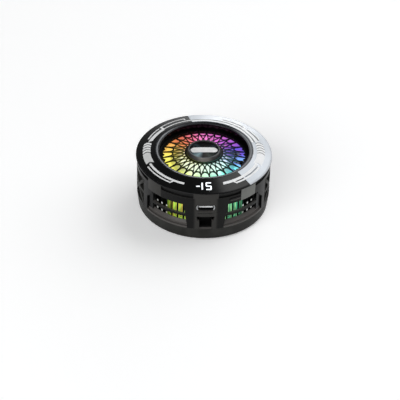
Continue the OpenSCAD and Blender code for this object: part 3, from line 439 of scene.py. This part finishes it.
def lit_heat_sink():
    """Dark anodised aluminium with a painted glow in stripes between the fins at the front and the back.

    The ends of the fins beside the lit gaps carry painted glints: a light grey base colour and a faint
    white glow.
    """
    made = metal("aluminium_lit", "#1c1d1f", roughness=0.38, line_mm=0.15, stretch=(1, 1, 0.05))
    x, y, z = made.axes()
    r = made.radius()
    along = made.share(y, r)
    lit_side = made.between(along, *GAP_SHARE_EDGE)
    under_fan = made.between(r, *UNDER_FAN_EDGE)
    row = made.math("MULTIPLY_ADD", made.between(z, *UPPER_ROW_EDGE), 0.5, 0.5)
    bands = made.math("SINE", made.math("MULTIPLY", r, math.tau / FIN_BAND))
    stripes = made.math("MULTIPLY_ADD", bands, 0.6, 0.8)
    fins = made.all_of(lit_side, made.between(r, *FIN_SIDE_EDGE), row, stripes, made.none_of(under_fan))

    warm = made.between(made.noise(1.1, detail=1.0, stretch=(1, 1, 0.1)), *WARM_EDGE)
    left_green = made.mix(warm, linear("#a6ec40"), linear("#ead046"))
    right_green = made.mix(warm, linear("#48b072"), linear("#a4dc88"))
    front = made.between(y, *FRONT_HALF_EDGE)
    front_left = made.all_of(made.between(x, *LEFT_GREEN_EDGE), front, GREEN_SHARE)
    front_right = made.all_of(made.between(x, *RIGHT_GREEN_EDGE), front, GREEN_SHARE)
    colour = made.mix(front_left, made.by_azimuth(GLOW_COLOURS), left_green)
    colour = made.mix(front_right, colour, right_green)
    # painted light under the fan: a pale glow there
    colour = made.mix(made.all_of(under_fan, 0.7), colour, linear("#c2dfe2"))

    # painted glints on the ends of the fins beside the lit gaps, in the upper and the lower row
    beside_gaps = made.all_of(made.none_of(lit_side), made.between(along, *GLINT_SHARE_EDGE))
    fin_ends = made.all_of(made.between(r, *FIN_END_EDGE), beside_gaps)
    upper = made.inside(z, *UPPER_GLINTS, GLINT_FADE)
    lower = made.inside(z, *LOWER_GLINTS, GLINT_FADE)
    painted_glints = made.all_of(fin_ends, made.any_of(upper, lower))
    made.repaint(painted_glints, "#b9bbbd")
    colour = made.mix(fin_ends, colour, linear("#f2f4f0"))
    made.glow(colour, made.any_of(fins, made.all_of(under_fan, 0.2), made.all_of(painted_glints, 0.4)))
    return made


GRILLE_TILT_EDGE = (0.7, 0.3)
GRILLE_LIGHT_EDGE = (17.6 * MM, 16.6 * MM)
GRILLE_LIGHT = 0.16


def grille_plastic():
    """Black grille whose walls carry a painted glow that stands in for the light from below."""
    made = moulded("grille_black", "#040404", roughness=0.45, grain_mm=0.15, relief_mm=0.004, specular=0.12)
    wall = made.between(made.facing_up(), *GRILLE_TILT_EDGE)
    inner = made.between(made.radius(), *GRILLE_LIGHT_EDGE)
    made.glow(made.by_azimuth(GLOW_COLOURS), made.all_of(wall, inner, GRILLE_LIGHT))
    return made


def lit_digit():
    """Lit display segments with a slight unevenness."""
    made = Finish("digit_light", Roughness=0.4)
    made.tint("#eef3f6", spread=0.05, size_mm=1.0)
    made.glow(linear("#f6fbff"), made.math("MULTIPLY_ADD", made.noise(0.5, detail=1.0), 0.2, 0.6))
    return made


# Plastic of the case

WALL_FACE_EDGE = (WALL_R - 0.3 * MM, WALL_R - 0.15 * MM)
FRONT_PLATE_EDGE = (6.2 * MM, 4.5 * MM)
SILL_TILT_EDGE = (0.2, 0.4)
SILL_HEIGHT_EDGE = (22.0 * MM, 21.0 * MM)
SLOT_DEPTH_EDGE = (WALL_R - 0.8 * MM, WALL_R - 1.1 * MM)
SLOT_FRONT_EDGE = (-20.0 * MM, -21.0 * MM)


def wall_plastic():
    """The wall's black plastic.

    The pads and the front are a lighter grey, partly a satin finish and partly painted reflection, and the
    right pad is lighter still with painted reflection; the sills carry a painted highlight, and painted
    shade makes the groove and the slot near black.
    """
    made = moulded(
        "case_black_wall", "#060606", roughness=0.3, grain_mm=0.6, relief_mm=0.004, specular=0.15)
    x, y, z = made.axes()
    r = made.radius()
    degrees = made.degrees()
    face = made.between(r, *WALL_FACE_EDGE)
    above_groove = made.between(z, GROOVE_Z - FADE, GROOVE_Z)
    above_windows = made.between(z, WINDOW_TOP - FADE, WINDOW_TOP)
    front_plate = made.between(made.math("ABSOLUTE", x), *FRONT_PLATE_EDGE)
    left = made.all_of(made.inside(degrees, LEFT_PAD, LEFT_PAD + PAD_ANGLE, FADE_DEGREES), above_windows)
    right = made.all_of(made.inside(degrees, RIGHT_PAD, RIGHT_PAD + PAD_ANGLE, FADE_DEGREES), above_windows)
    # lighter grey on the pads and the front: partly a satin finish, partly painted reflection
    made.repaint(made.all_of(made.any_of(above_groove, left, front_plate), face), PAD_SATIN_AND_SHEEN)
    # painted reflection that makes the right pad light grey
    made.repaint(made.all_of(right, face), "#737471")

    # painted highlight on the sills where they face up, and on the step at their foot that stands in shade
    slope = made.all_of(made.between(made.facing_up(), *SILL_TILT_EDGE), made.between(z, *SILL_HEIGHT_EDGE))
    sill_step_highlight = made.all_of(
        made.inside(made.math("ABSOLUTE", degrees), WINDOW_START, WINDOW_TIP, FADE_DEGREES),
        made.between(z, SILL_FOOT + SILL_STRIP + FADE, SILL_FOOT + SILL_STRIP),
        made.between(r, SILL_R - FADE, SILL_R),
    )
    made.repaint(made.any_of(slope, sill_step_highlight), "#53504e")

    # painted shade in the groove and the slot
    groove = made.all_of(above_groove, made.none_of(face))
    slot = made.all_of(
        made.between(r, *SLOT_DEPTH_EDGE),
        made.inside(x, -SLOT_HALF - FADE, SLOT_HALF + FADE, FADE / 2),
        made.between(z, SLOT_TOP + FADE, SLOT_TOP),
        made.between(y, *SLOT_FRONT_EDGE),
    )
    made.repaint(made.any_of(groove, slot), "#101010")
    return made


# Painted highlight along the button's lower lip, as heights from its middle
BUTTON_HIGHLIGHT_LOW = -0.7 * MM
BUTTON_HIGHLIGHT_HIGH = -0.2 * MM
BUTTON_HIGHLIGHT_FADE = 0.15 * MM


def button_plastic():
    """Glossy black button with a painted highlight on its lower lip."""
    made = moulded(
        "case_black_button", "#040404", roughness=0.25, grain_mm=0.4, relief_mm=0.003, specular=0.15)
    low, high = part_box("mode_button")
    middle = (low.z + high.z) / 2
    # painted highlight along the lower lip
    lip = made.inside(made.height(), middle + BUTTON_HIGHLIGHT_LOW, middle + BUTTON_HIGHLIGHT_HIGH, BUTTON_HIGHLIGHT_FADE)
    made.repaint(lip, "#4c4a47")
    return made


LIP_EDGE = (DECK_EDGE_R - LIP_WIDTH, DECK_EDGE_R - LIP_WIDTH + FADE)
LIP_TOP_EDGE = (LIP_TOP - 0.03 * MM, LIP_TOP)
LIP_SIDE_EDGE = (LIP_TOP, LIP_TOP - 0.05 * MM)
WELL_WALL_EDGE = (WELL_R + 0.6 * MM, WELL_R + 0.3 * MM)


def deck_plastic():
    """The deck's black plastic.

    Silver paint covers its lip along the silver film. Its side over the front pad takes the pads' lighter
    grey in place of its shade, and painted shade makes its wall in the well near black.
    """
    made = moulded(
        "case_black_deck", "#0a0a0b", roughness=0.22, grain_mm=0.6, relief_mm=0.004, specular=0.16)
    r = made.radius()
    z = made.height()
    from_front = made.math("FRACT", made.math("ADD", made.azimuth(), 0.5))
    after = made.between(from_front, SEAM_FRONT / 360 - FADE_TURN, SEAM_FRONT / 360 + FADE_TURN)
    before = made.between(from_front, SEAM_BACK / 360 + FADE_TURN, SEAM_BACK / 360 - FADE_TURN)
    lip = made.all_of(made.between(r, *LIP_EDGE), made.between(z, *LIP_TOP_EDGE))
    made.repaint(made.all_of(after, before, lip), "#cfd3d9")

    # the side over the front pad takes the pads' grey, painted in place of its shade
    over_pad = made.inside(made.degrees(), -FRONT_PAD_HALF, FRONT_PAD_HALF, FADE_DEGREES)
    side = made.all_of(made.between(z, *LIP_SIDE_EDGE), made.between(r, WALL_R, WALL_R + FADE))
    made.repaint(made.all_of(side, over_pad), PAD_SATIN_AND_SHEEN)
    # painted shade on the wall in the well
    made.repaint(made.between(r, *WELL_WALL_EDGE), "#020202")
    return made


HUB_HIGHLIGHT_HALF = 32.0
HUB_HIGHLIGHT_FADE = 26.0
HUB_RIM_HIGHLIGHT_EDGE = (7.1 * MM, 7.25 * MM)
HUB_TILT_EDGE = (0.75, 0.85)


def hub_plastic():
    """Dark skirt of the hub cap, with a painted highlight at the front and a painted highlight on its rim
    where it faces up.
    """
    made = moulded("hub_black", "#343231", roughness=0.3, grain_mm=0.3, relief_mm=0.004, specular=0.6)
    # painted highlight at the front of the skirt
    made.repaint(made.inside(made.degrees(), -HUB_HIGHLIGHT_HALF, HUB_HIGHLIGHT_HALF, HUB_HIGHLIGHT_FADE), "#78736e")
    # painted highlight on the top of the rim
    rim = made.between(made.radius(), *HUB_RIM_HIGHLIGHT_EDGE)
    made.repaint(made.all_of(rim, made.between(made.facing_up(), *HUB_TILT_EDGE)), "#5c5d5f")
    return made


# Trim on the case

BEZEL_METALLIC = 0.85
BEZEL_TILT_EDGE = (0.3, 0.5)
BEZEL_SHEEN_EDGE = (12.0 * MM, 21.0 * MM)
BEZEL_LINE_R = 23.1 * MM
BEZEL_LINE_HALF = 0.4 * MM
BEZEL_LINE_FADE = 0.15 * MM
BEZEL_LINE_EDGE = (22.0 * MM, 12.0 * MM)


def bezel():
    """Dark turned metal with a painted highlight line round its middle, a painted sheen on its right side
    and painted shade on the faces that do not face up.
    """
    made = metal(
        "bezel_metal", "#343538", roughness=0.26, line_mm=0.2, stretch=(1, 1, 20), metallic=BEZEL_METALLIC)
    x, y, _ = made.axes()
    up = made.between(made.facing_up(), *BEZEL_TILT_EDGE)
    # painted sheen on the right side of the bezel's top
    satin = made.all_of(up, made.between(x, *BEZEL_SHEEN_EDGE))
    made.repaint(satin, "#5e6064")
    line_low = BEZEL_LINE_R - BEZEL_LINE_HALF
    line_high = BEZEL_LINE_R + BEZEL_LINE_HALF
    # painted highlight line round the middle
    ring = made.inside(made.radius(), line_low, line_high, BEZEL_LINE_FADE)
    highlight_line = made.all_of(up, ring, made.between(y, *BEZEL_LINE_EDGE))
    made.repaint(highlight_line, "#8b8d90")
    bare = made.none_of(made.any_of(satin, highlight_line))
    made.feed("Metallic", made.all_of(bare, BEZEL_METALLIC))
    # painted shade on the faces that do not face up
    made.repaint(made.none_of(up), "#050505")
    return made


FLAKE_MM = 0.12


def silver_film():
    """Silver printed film: fine flakes in a clear layer."""
    made = Finish("film_silver", Metallic=0.2, Coat_Weight=0.3, Coat_Roughness=0.15)
    made.tint("#cdd3da", spread=0.05, size_mm=8.0)
    made.roughen(0.34, spread=0.07, size_mm=5.0)
    made.bump(made.cells(FLAKE_MM), depth_mm=0.002, strength=0.5)
    return made


def black_film():
    """Glossy black printed film."""
    made = Finish("film_black", Specular_IOR_Level=0.36)
    made.tint("#040404", spread=0.4, size_mm=7.0)
    made.roughen(0.16, spread=0.05, size_mm=6.0)
    made.bump(made.noise(2.5, detail=2.0), depth_mm=0.004, strength=0.3)
    return made


def badge_dome():
    """Dark disc under a clear dome, with painted wedges of reflection that run out from its middle."""
    made = Finish("badge_black", Specular_IOR_Level=0.08)
    made.feed("Base Color", made.by_azimuth(BADGE_PAINTED_SHEEN))
    made.roughen(0.4, spread=0.05, size_mm=3.0)
    made.bump(made.noise(0.2, detail=2.0), depth_mm=0.002, strength=0.3)
    return made


SOCKET_HIGHLIGHT_EDGE = (3.5 * MM, 3.8 * MM)


def socket_shell():
    """Dark steel socket with a painted highlight on its rounded ends."""
    made = metal("steel_socket", "#1b1b1c", roughness=0.4, line_mm=0.12, stretch=(1, 12, 1), metallic=0.6)
    x, _, _ = made.axes()
    # painted highlight on the rounded ends
    made.repaint(made.between(made.math("ABSOLUTE", x), *SOCKET_HIGHLIGHT_EDGE), "#c4c6c8")
    return made


# Finishes by the slot that the record names, and those of single nodes

FINISHES = {
    "satin_black": moulded(
        "satin_black", "#2d2d2b", roughness=0.5, grain_mm=0.2, relief_mm=0.006, specular=0.08),
    "film_black": black_film(),
    "film_silver": silver_film(),
    "bezel_metal": bezel(),
    "grille_black": grille_plastic(),
    "digit_light": lit_digit(),
    "silicone": soft("silicone", "#262628", roughness=0.72, cell_mm=0.25, relief_mm=0.02),
    "thermal_gel": soft("thermal_gel", "#8298aa", roughness=0.55, cell_mm=0.6, relief_mm=0.02),
    "aluminium": metal("aluminium", "#b4b8be", roughness=0.34, line_mm=0.2, stretch=(1, 1, 20)),
    "steel": metal("steel", "#c0c3c8", roughness=0.26, line_mm=0.12, stretch=(1, 12, 1)),
    "magnet_dark": metal(
        "magnet_dark", "#75787e", roughness=0.32, line_mm=0.3, stretch=(1, 1, 4), metallic=0.9),
    "ceramic_white": soft("ceramic_white", "#e8eae6", roughness=0.6, cell_mm=0.15, relief_mm=0.006),
    "foam": soft("foam", "#3a3a3d", roughness=0.9, cell_mm=0.35, relief_mm=0.08),
    "board": board("board", "#175440"),
    "plastic_black": moulded("plastic_black", "#0c0c0c", roughness=0.4, grain_mm=0.2, relief_mm=0.006),
    "copper": wound_copper(),
    "lead_red": soft("lead_red", "#9c1c26", roughness=0.5, cell_mm=0.3, relief_mm=0.01),
    "lead_black": soft("lead_black", "#222226", roughness=0.5, cell_mm=0.3, relief_mm=0.01),
    "bronze": metal("bronze", "#b08d4a", roughness=0.4, line_mm=0.1, stretch=(1, 1, 1), relief_mm=0.01),
    "milky": lit_impeller(),
    "led_white": printed("led_white", "#f0f0e6", roughness=0.4),
    "badge_black": badge_dome(),
    "badge_silver": metal(
        "badge_silver", "#fcfcfb", roughness=0.35, line_mm=0.15, stretch=(0.08, 1, 1), metallic=0.1),
    "smoked": lit_light_ring(),
}
OWN_FINISHES = {
    "heat_sink": lit_heat_sink(),
    "side_shell": wall_plastic(),
    "mode_button": button_plastic(),
    "deck_cover": deck_plastic(),
    "hub_cap": hub_plastic(),
    "usb_c_shell": socket_shell(),
    # the tongue's light grey is a painted highlight in place of the shade inside the socket
    "usb_c_tongue": moulded("tongue_painted_highlight", "#d8dadb", roughness=0.4, grain_mm=0.2, relief_mm=0.003),
}


def dress_nodes():
    """Gives every node of the model a finish of its own, or the one that the record names for it."""
    for part in frame["record"]["subparts"]:
        made = OWN_FINISHES.get(part["node"]) or FINISHES[part["material_slot"]]
        materials = NODES[part["node"]].data.materials
        materials.clear()
        materials.append(made.material)


def add_object(name, data):
    """New object in the scene."""
    made = bpy.data.objects.new(name, data)
    bpy.context.scene.collection.objects.link(made)
    return made


def new_piece(name, build, finish, body="housing"):
    """Mesh piece that a function fills, riding on a body."""
    mesh = bpy.data.meshes.new(name)
    bm = bmesh.new()
    build(bm)
    bmesh.ops.recalc_face_normals(bm, faces=bm.faces)
    bm.to_mesh(mesh)
    bm.free()
    mesh.materials.append(finish.material)
    piece = add_object(name, mesh)
    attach(piece, body)


# Prints on the deck, whose points are azimuths and radii in millimetres

LEFT = -1
RIGHT = 1
PRINT_LIFT = 0.07 * MM
PRINT_DEPTH = 0.12 * MM
LINE_MM = 0.7
BLOCK_LEAN = 1.5
WAVE_PEAK = 2.4
WAVE_GAP = 1.3
WAVE_STEPS = 8
LEFT_WAVE_START = 86.0
LEFT_WAVE_PITCH = 4.3
LEFT_BAND = (26.3, 30.1)
RIGHT_BAND = (26.0, 29.9)
RIGHT_BLOCK_BACK = 83.0
RIGHT_WAVE_PITCH = 4.4


def deck_point(azimuth, r_mm, lift):
    """Point on the deck's slope, raised by a height."""
    a = math.radians(azimuth)
    r = r_mm * MM
    height = DECK_EDGE_Z + (DECK_EDGE_R - r) * DECK_SLOPE
    return Vector((r * math.sin(a), -r * math.cos(a), height + lift))


def blend(start, end, share):
    """Azimuth and radius part of the way from one point to another."""
    return [a + (b - a) * share for a, b in zip(start, end)]


def split(corners, parts):
    """Points along a line of corners, with each of its stretches cut into parts."""
    points = []
    for start, end in zip(corners, corners[1:]):
        points += [blend(start, end, i / parts) for i in range(parts)]
    return points + [corners[-1]]


def patch(bm, near, far, along=12, across=1):
    """Closed thin patch on the deck between two lines of points."""
    top = []
    low = []
    for start, end in zip(split(near, along), split(far, along)):
        places = [blend(start, end, j / across) for j in range(across + 1)]
        top.append([bm.verts.new(deck_point(*place, PRINT_LIFT)) for place in places])
        low.append([bm.verts.new(deck_point(*place, -PRINT_DEPTH)) for place in places])
    n = len(top) - 1
    for i in range(n):
        for j in range(across):
            bm.faces.new((top[i][j], top[i + 1][j], top[i + 1][j + 1], top[i][j + 1]))
            bm.faces.new((low[i][j], low[i][j + 1], low[i + 1][j + 1], low[i + 1][j]))
    rim = [(i, 0) for i in range(n)] + [(n, j) for j in range(across)]
    rim += [(i, across) for i in range(n, 0, -1)] + [(0, j) for j in range(across, 0, -1)]
    for (i, j), (k, m) in zip(rim, rim[1:] + rim[:1]):
        bm.faces.new((top[i][j], low[i][j], low[k][m], top[k][m]))


def arc(bm, a0, a1, r0, r1):
    """Stripe between two azimuths and two radii."""
    steps = max(2, round(abs(a1 - a0) / 2))
    patch(bm, [(a0, r0), (a1, r0)], [(a0, r1), (a1, r1)], steps)


def line(bm, points):
    """Thin line through points."""
    patch(bm, [(a, r - LINE_MM / 2) for a, r in points], [(a, r + LINE_MM / 2) for a, r in points])


def wave(side, azimuth, band):
    """Points across a band of the deck with a rounded peak in the middle."""
    r0, r1 = band
    shares = [i / WAVE_STEPS for i in range(WAVE_STEPS + 1)]
    return [(side * (azimuth + WAVE_PEAK * math.sin(math.pi * t)), r0 + (r1 - r0) * t) for t in shares]


def waves(bm, side, start, width, pitch, band, count):
    """Row of wavy stripes across a band of the deck."""
    for i in range(count):
        a = start + i * pitch
        patch(bm, wave(side, a, band), wave(side, a + width, band), along=1, across=2)


def block(bm, side, tail, notch, back, band):
    """Block with a notched front end and a wavy back end."""
    r0, r1 = band
    corners = [(side * tail, r0), (side * notch, (r0 + r1) / 2), (side * (tail + BLOCK_LEAN), r1)]
    front = split(corners, WAVE_STEPS // 2)
    patch(bm, front, wave(side, back, band), along=1, across=9)


def left_prints(bm):
    """Pale stripes and wavy bars on the black film."""
    # Two stripes at the front, with a slanted piece between them
    arc(bm, -68.5, -21.2, 28.0, 29.05)
    arc(bm, -66.0, -33.9, 29.95, 30.55)
    patch(bm, [(-33.8, 30.55), (-31.8, 29.0)], [(-35.3, 30.5), (-33.4, 29.0)], 2)
    # Bars at the side
    width = LEFT_WAVE_PITCH - WAVE_GAP
    waves(bm, LEFT, LEFT_WAVE_START, width, LEFT_WAVE_PITCH, LEFT_BAND, count=4)
    # A bent stripe and a thin one behind the bars
    inner = [(-107.4, 26.4), (-118.9, 26.0), (-132.0, 25.7)]
    outer = [(-105.6, 28.4), (-122.0, 27.7), (-132.5, 27.5)]
    patch(bm, inner, outer, 7)
    arc(bm, -131.3, -110.5, 28.8, 29.5)
    # A slanted bar, and two stripes from there to the back, the outer one with a hooked end
    patch(bm, [(-133.2, 29.8), (-131.6, 26.2)], [(-135.6, 29.8), (-133.8, 26.2)], 4)
    patch(bm, [(-135.0, 29.1), (-162.4, 29.5)], [(-135.0, 29.8), (-162.4, 30.2)], 14)
    arc(bm, -162.4, -160.8, 28.2, 29.5)
    arc(bm, -168.0, -133.4, 26.2, 26.95)


def left_block(bm):
    """Light grey block on the black film."""
    block(bm, LEFT, tail=68.0, notch=71.2, back=84.6, band=(26.5, 30.2))


def right_prints(bm):
    """White stripes, block and wavy bars on the silver film."""
    # Two stripes at the front, with a slanted piece between them
    patch(bm, [(17.5, 27.2), (66.8, 26.8)], [(17.0, 28.6), (66.6, 28.1)], 24)
    arc(bm, 29.7, 63.5, 29.05, 29.85)
    patch(bm, [(29.7, 29.8), (27.4, 28.4)], [(31.2, 29.8), (29.2, 28.4)], 2)
    # Block and bars at the side
    block(bm, RIGHT, tail=64.9, notch=68.5, back=RIGHT_BLOCK_BACK, band=RIGHT_BAND)
    start = RIGHT_BLOCK_BACK + WAVE_GAP
    width = RIGHT_WAVE_PITCH - WAVE_GAP
    waves(bm, RIGHT, start, width, RIGHT_WAVE_PITCH, RIGHT_BAND, count=4)
    # A stripe that bends outwards and runs on to the back, and a wide one inside it
    inner = [(104.4, 26.35), (123.0, 26.2), (137.0, 26.9)]
    outer = [(103.0, 28.2), (123.0, 28.0), (137.0, 28.4)]
    patch(bm, inner, outer, 8)
    patch(bm, [(137.0, 26.9), (160.0, 27.0)], [(137.0, 28.5), (160.0, 28.5)], 12)
    patch(bm, [(104.0, 24.4), (192.0, 24.4)], [(104.0, 25.5), (192.0, 26.2)], 44)
    # A slanted bar between two outer stripes
    patch(bm, [(131.7, 28.3), (133.7, 29.8)], [(133.7, 28.3), (135.7, 29.8)], 3)
    arc(bm, 109.2, 130.1, 29.05, 29.7)
    arc(bm, 134.6, 161.3, 29.35, 30.0)


def right_lines(bm):
    """Grey lines between the white prints."""
    arc(bm, 42.0, 63.0, 28.4, 28.8)
    waves(bm, RIGHT, RIGHT_BLOCK_BACK, WAVE_GAP, RIGHT_WAVE_PITCH, RIGHT_BAND, count=5)
    line(bm, [(104.4, 26.0), (123.0, 25.85), (137.0, 26.5), (152.0, 26.55), (192.0, 26.65)])
    line(bm, [(107.9, 28.7), (119.0, 28.4), (128.9, 28.35)])
    line(bm, [(135.4, 28.85), (159.0, 28.95)])


# Gold contacts on the socket's tongue

CONTACT_COUNT = 12
CONTACT_PITCH = 0.5 * MM
CONTACT_SIZE = Vector((0.26, 3.6, 0.05)) * MM
CONTACT_INSET = 0.25 * MM
TONGUE_T = 0.7 * MM


def contacts(bm):
    """A row of contacts on each face of the tongue."""
    low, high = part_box("usb_c_tongue")
    middle_z = (low.z + high.z) / 2
    y = low.y + CONTACT_INSET + CONTACT_SIZE.y / 2
    for face in (-1, 1):
        for i in range(CONTACT_COUNT):
            x = (i - (CONTACT_COUNT - 1) / 2) * CONTACT_PITCH
            centre = Vector((x, y, middle_z + face * TONGUE_T / 2))
            made = bmesh.ops.create_cube(bm, size=1.0)
            bmesh.ops.scale(bm, vec=CONTACT_SIZE, verts=made["verts"])
            bmesh.ops.translate(bm, vec=centre, verts=made["verts"])


# Stage, light and camera

FLOOR_HALF = 4.0
FLOOR_Z = -0.05 * MM
FLOOR_GLOW = 0.22
LAMP_AIM = Vector((0.0, 0.0, 15.0)) * MM
SKY_LEVELS = [(0.0, 1.0), (0.1, 0.9), (0.3, 0.2), (1.0, 0.12)]
SKY_TINT = (0.96, 0.98, 1.0)


def place_floor():
    """Pale floor with a faint unevenness."""
    mesh = bpy.data.meshes.new("floor")
    corners = [(x * FLOOR_HALF, y * FLOOR_HALF, FLOOR_Z) for x, y in ((-1, -1), (1, -1), (1, 1), (-1, 1))]
    mesh.from_pydata(corners, [], [(0, 1, 2, 3)])
    made = Finish("floor_white", Roughness=0.9, Specular_IOR_Level=0.1)
    made.tint("#fdfdfd", spread=0.004, size_mm=60.0)
    ray = made.node("LightPath").outputs
    seen = made.any_of(ray["Is Camera Ray"], ray["Is Glossy Ray"], ray["Is Transmission Ray"])
    made.glow(linear("#ffffff"), made.all_of(seen, FLOOR_GLOW))
    mesh.materials.append(made.material)
    floor = add_object("floor", mesh)


def point_at(thing, place, aim, lean=0.0):
    """Stands a lamp or the camera at a place and turns it to a point."""
    thing.location = place
    thing.rotation_mode = "QUATERNION"
    facing = (aim - place).to_track_quat("-Z", "Y")
    thing.rotation_quaternion = facing @ Quaternion((0, 0, 1), lean)


def softbox(name, place, width, height, power):
    """Large soft lamp that faces the part."""
    lamp = bpy.data.lights.new(name, "AREA")
    lamp.shape = "RECTANGLE"
    lamp.size = width
    lamp.size_y = height
    lamp.energy = power
    point_at(add_object(name, lamp), Vector(place), LAMP_AIM)


def light_sky():
    """Sky that is pale at the horizon and dark above."""
    world = bpy.data.worlds.new("studio")
    world.use_nodes = True
    nodes = world.node_tree.nodes
    links = world.node_tree.links
    direction = nodes.new("ShaderNodeTexCoord")
    axes = nodes.new("ShaderNodeSeparateXYZ")
    sky = nodes.new("ShaderNodeValToRGB")
    stops = [(height, [level * tint for tint in SKY_TINT] + [1.0]) for height, level in SKY_LEVELS]
    fill_ramp(sky.color_ramp, stops)
    links.new(direction.outputs["Generated"], axes.inputs["Vector"])
    links.new(axes.outputs["Z"], sky.inputs["Fac"])
    links.new(sky.outputs["Color"], nodes["Background"].inputs["Color"])
    bpy.context.scene.world = world


def light_scene():
    """A large key lamp from the back right, a fill from the front left and a low lamp behind."""
    softbox("key", (0.93, 0.63, 0.99), width=1.6, height=1.6, power=15.0)
    softbox("fill", (-0.7, -1.0, 0.9), width=1.2, height=0.9, power=12.0)
    softbox("back", (0.8, 2.2, 0.3), width=1.5, height=0.7, power=9.0)
    light_sky()


def place_camera():
    """The camera of the photograph."""
    lens = bpy.data.cameras.new("camera")
    lens.sensor_width = SENSOR_MM
    lens.lens = FOCAL_PIXELS * SENSOR_MM / IMAGE_PIXELS
    lens.clip_start = CLIP_START
    camera = add_object("camera", lens)
    point_at(camera, CAMERA_PLACE, CAMERA_AIM, CAMERA_LEAN)
    bpy.context.scene.camera = camera


PRINTS = [
    ("print_left", left_prints, printed("ink_pale", "#eceded", roughness=0.4)),
    ("print_left_block", left_block, printed("ink_light_grey", "#d6d7d6", roughness=0.4)),
    ("print_right", right_prints, printed("ink_white", "#f8f9fa", roughness=0.35)),
    ("print_right_lines", right_lines, printed("ink_grey", "#6f7478", roughness=0.4)),
]
GOLD = metal("contact_gold", "#d8a849", roughness=0.28, line_mm=0.1, stretch=(1, 0.1, 1))

dress_nodes()
for name, build, ink in PRINTS:
    new_piece(name, build, ink)
new_piece("usb_contacts", contacts, GOLD)
place_floor()
light_scene()
place_camera()
bpy.context.scene.view_settings.view_transform = "Standard"
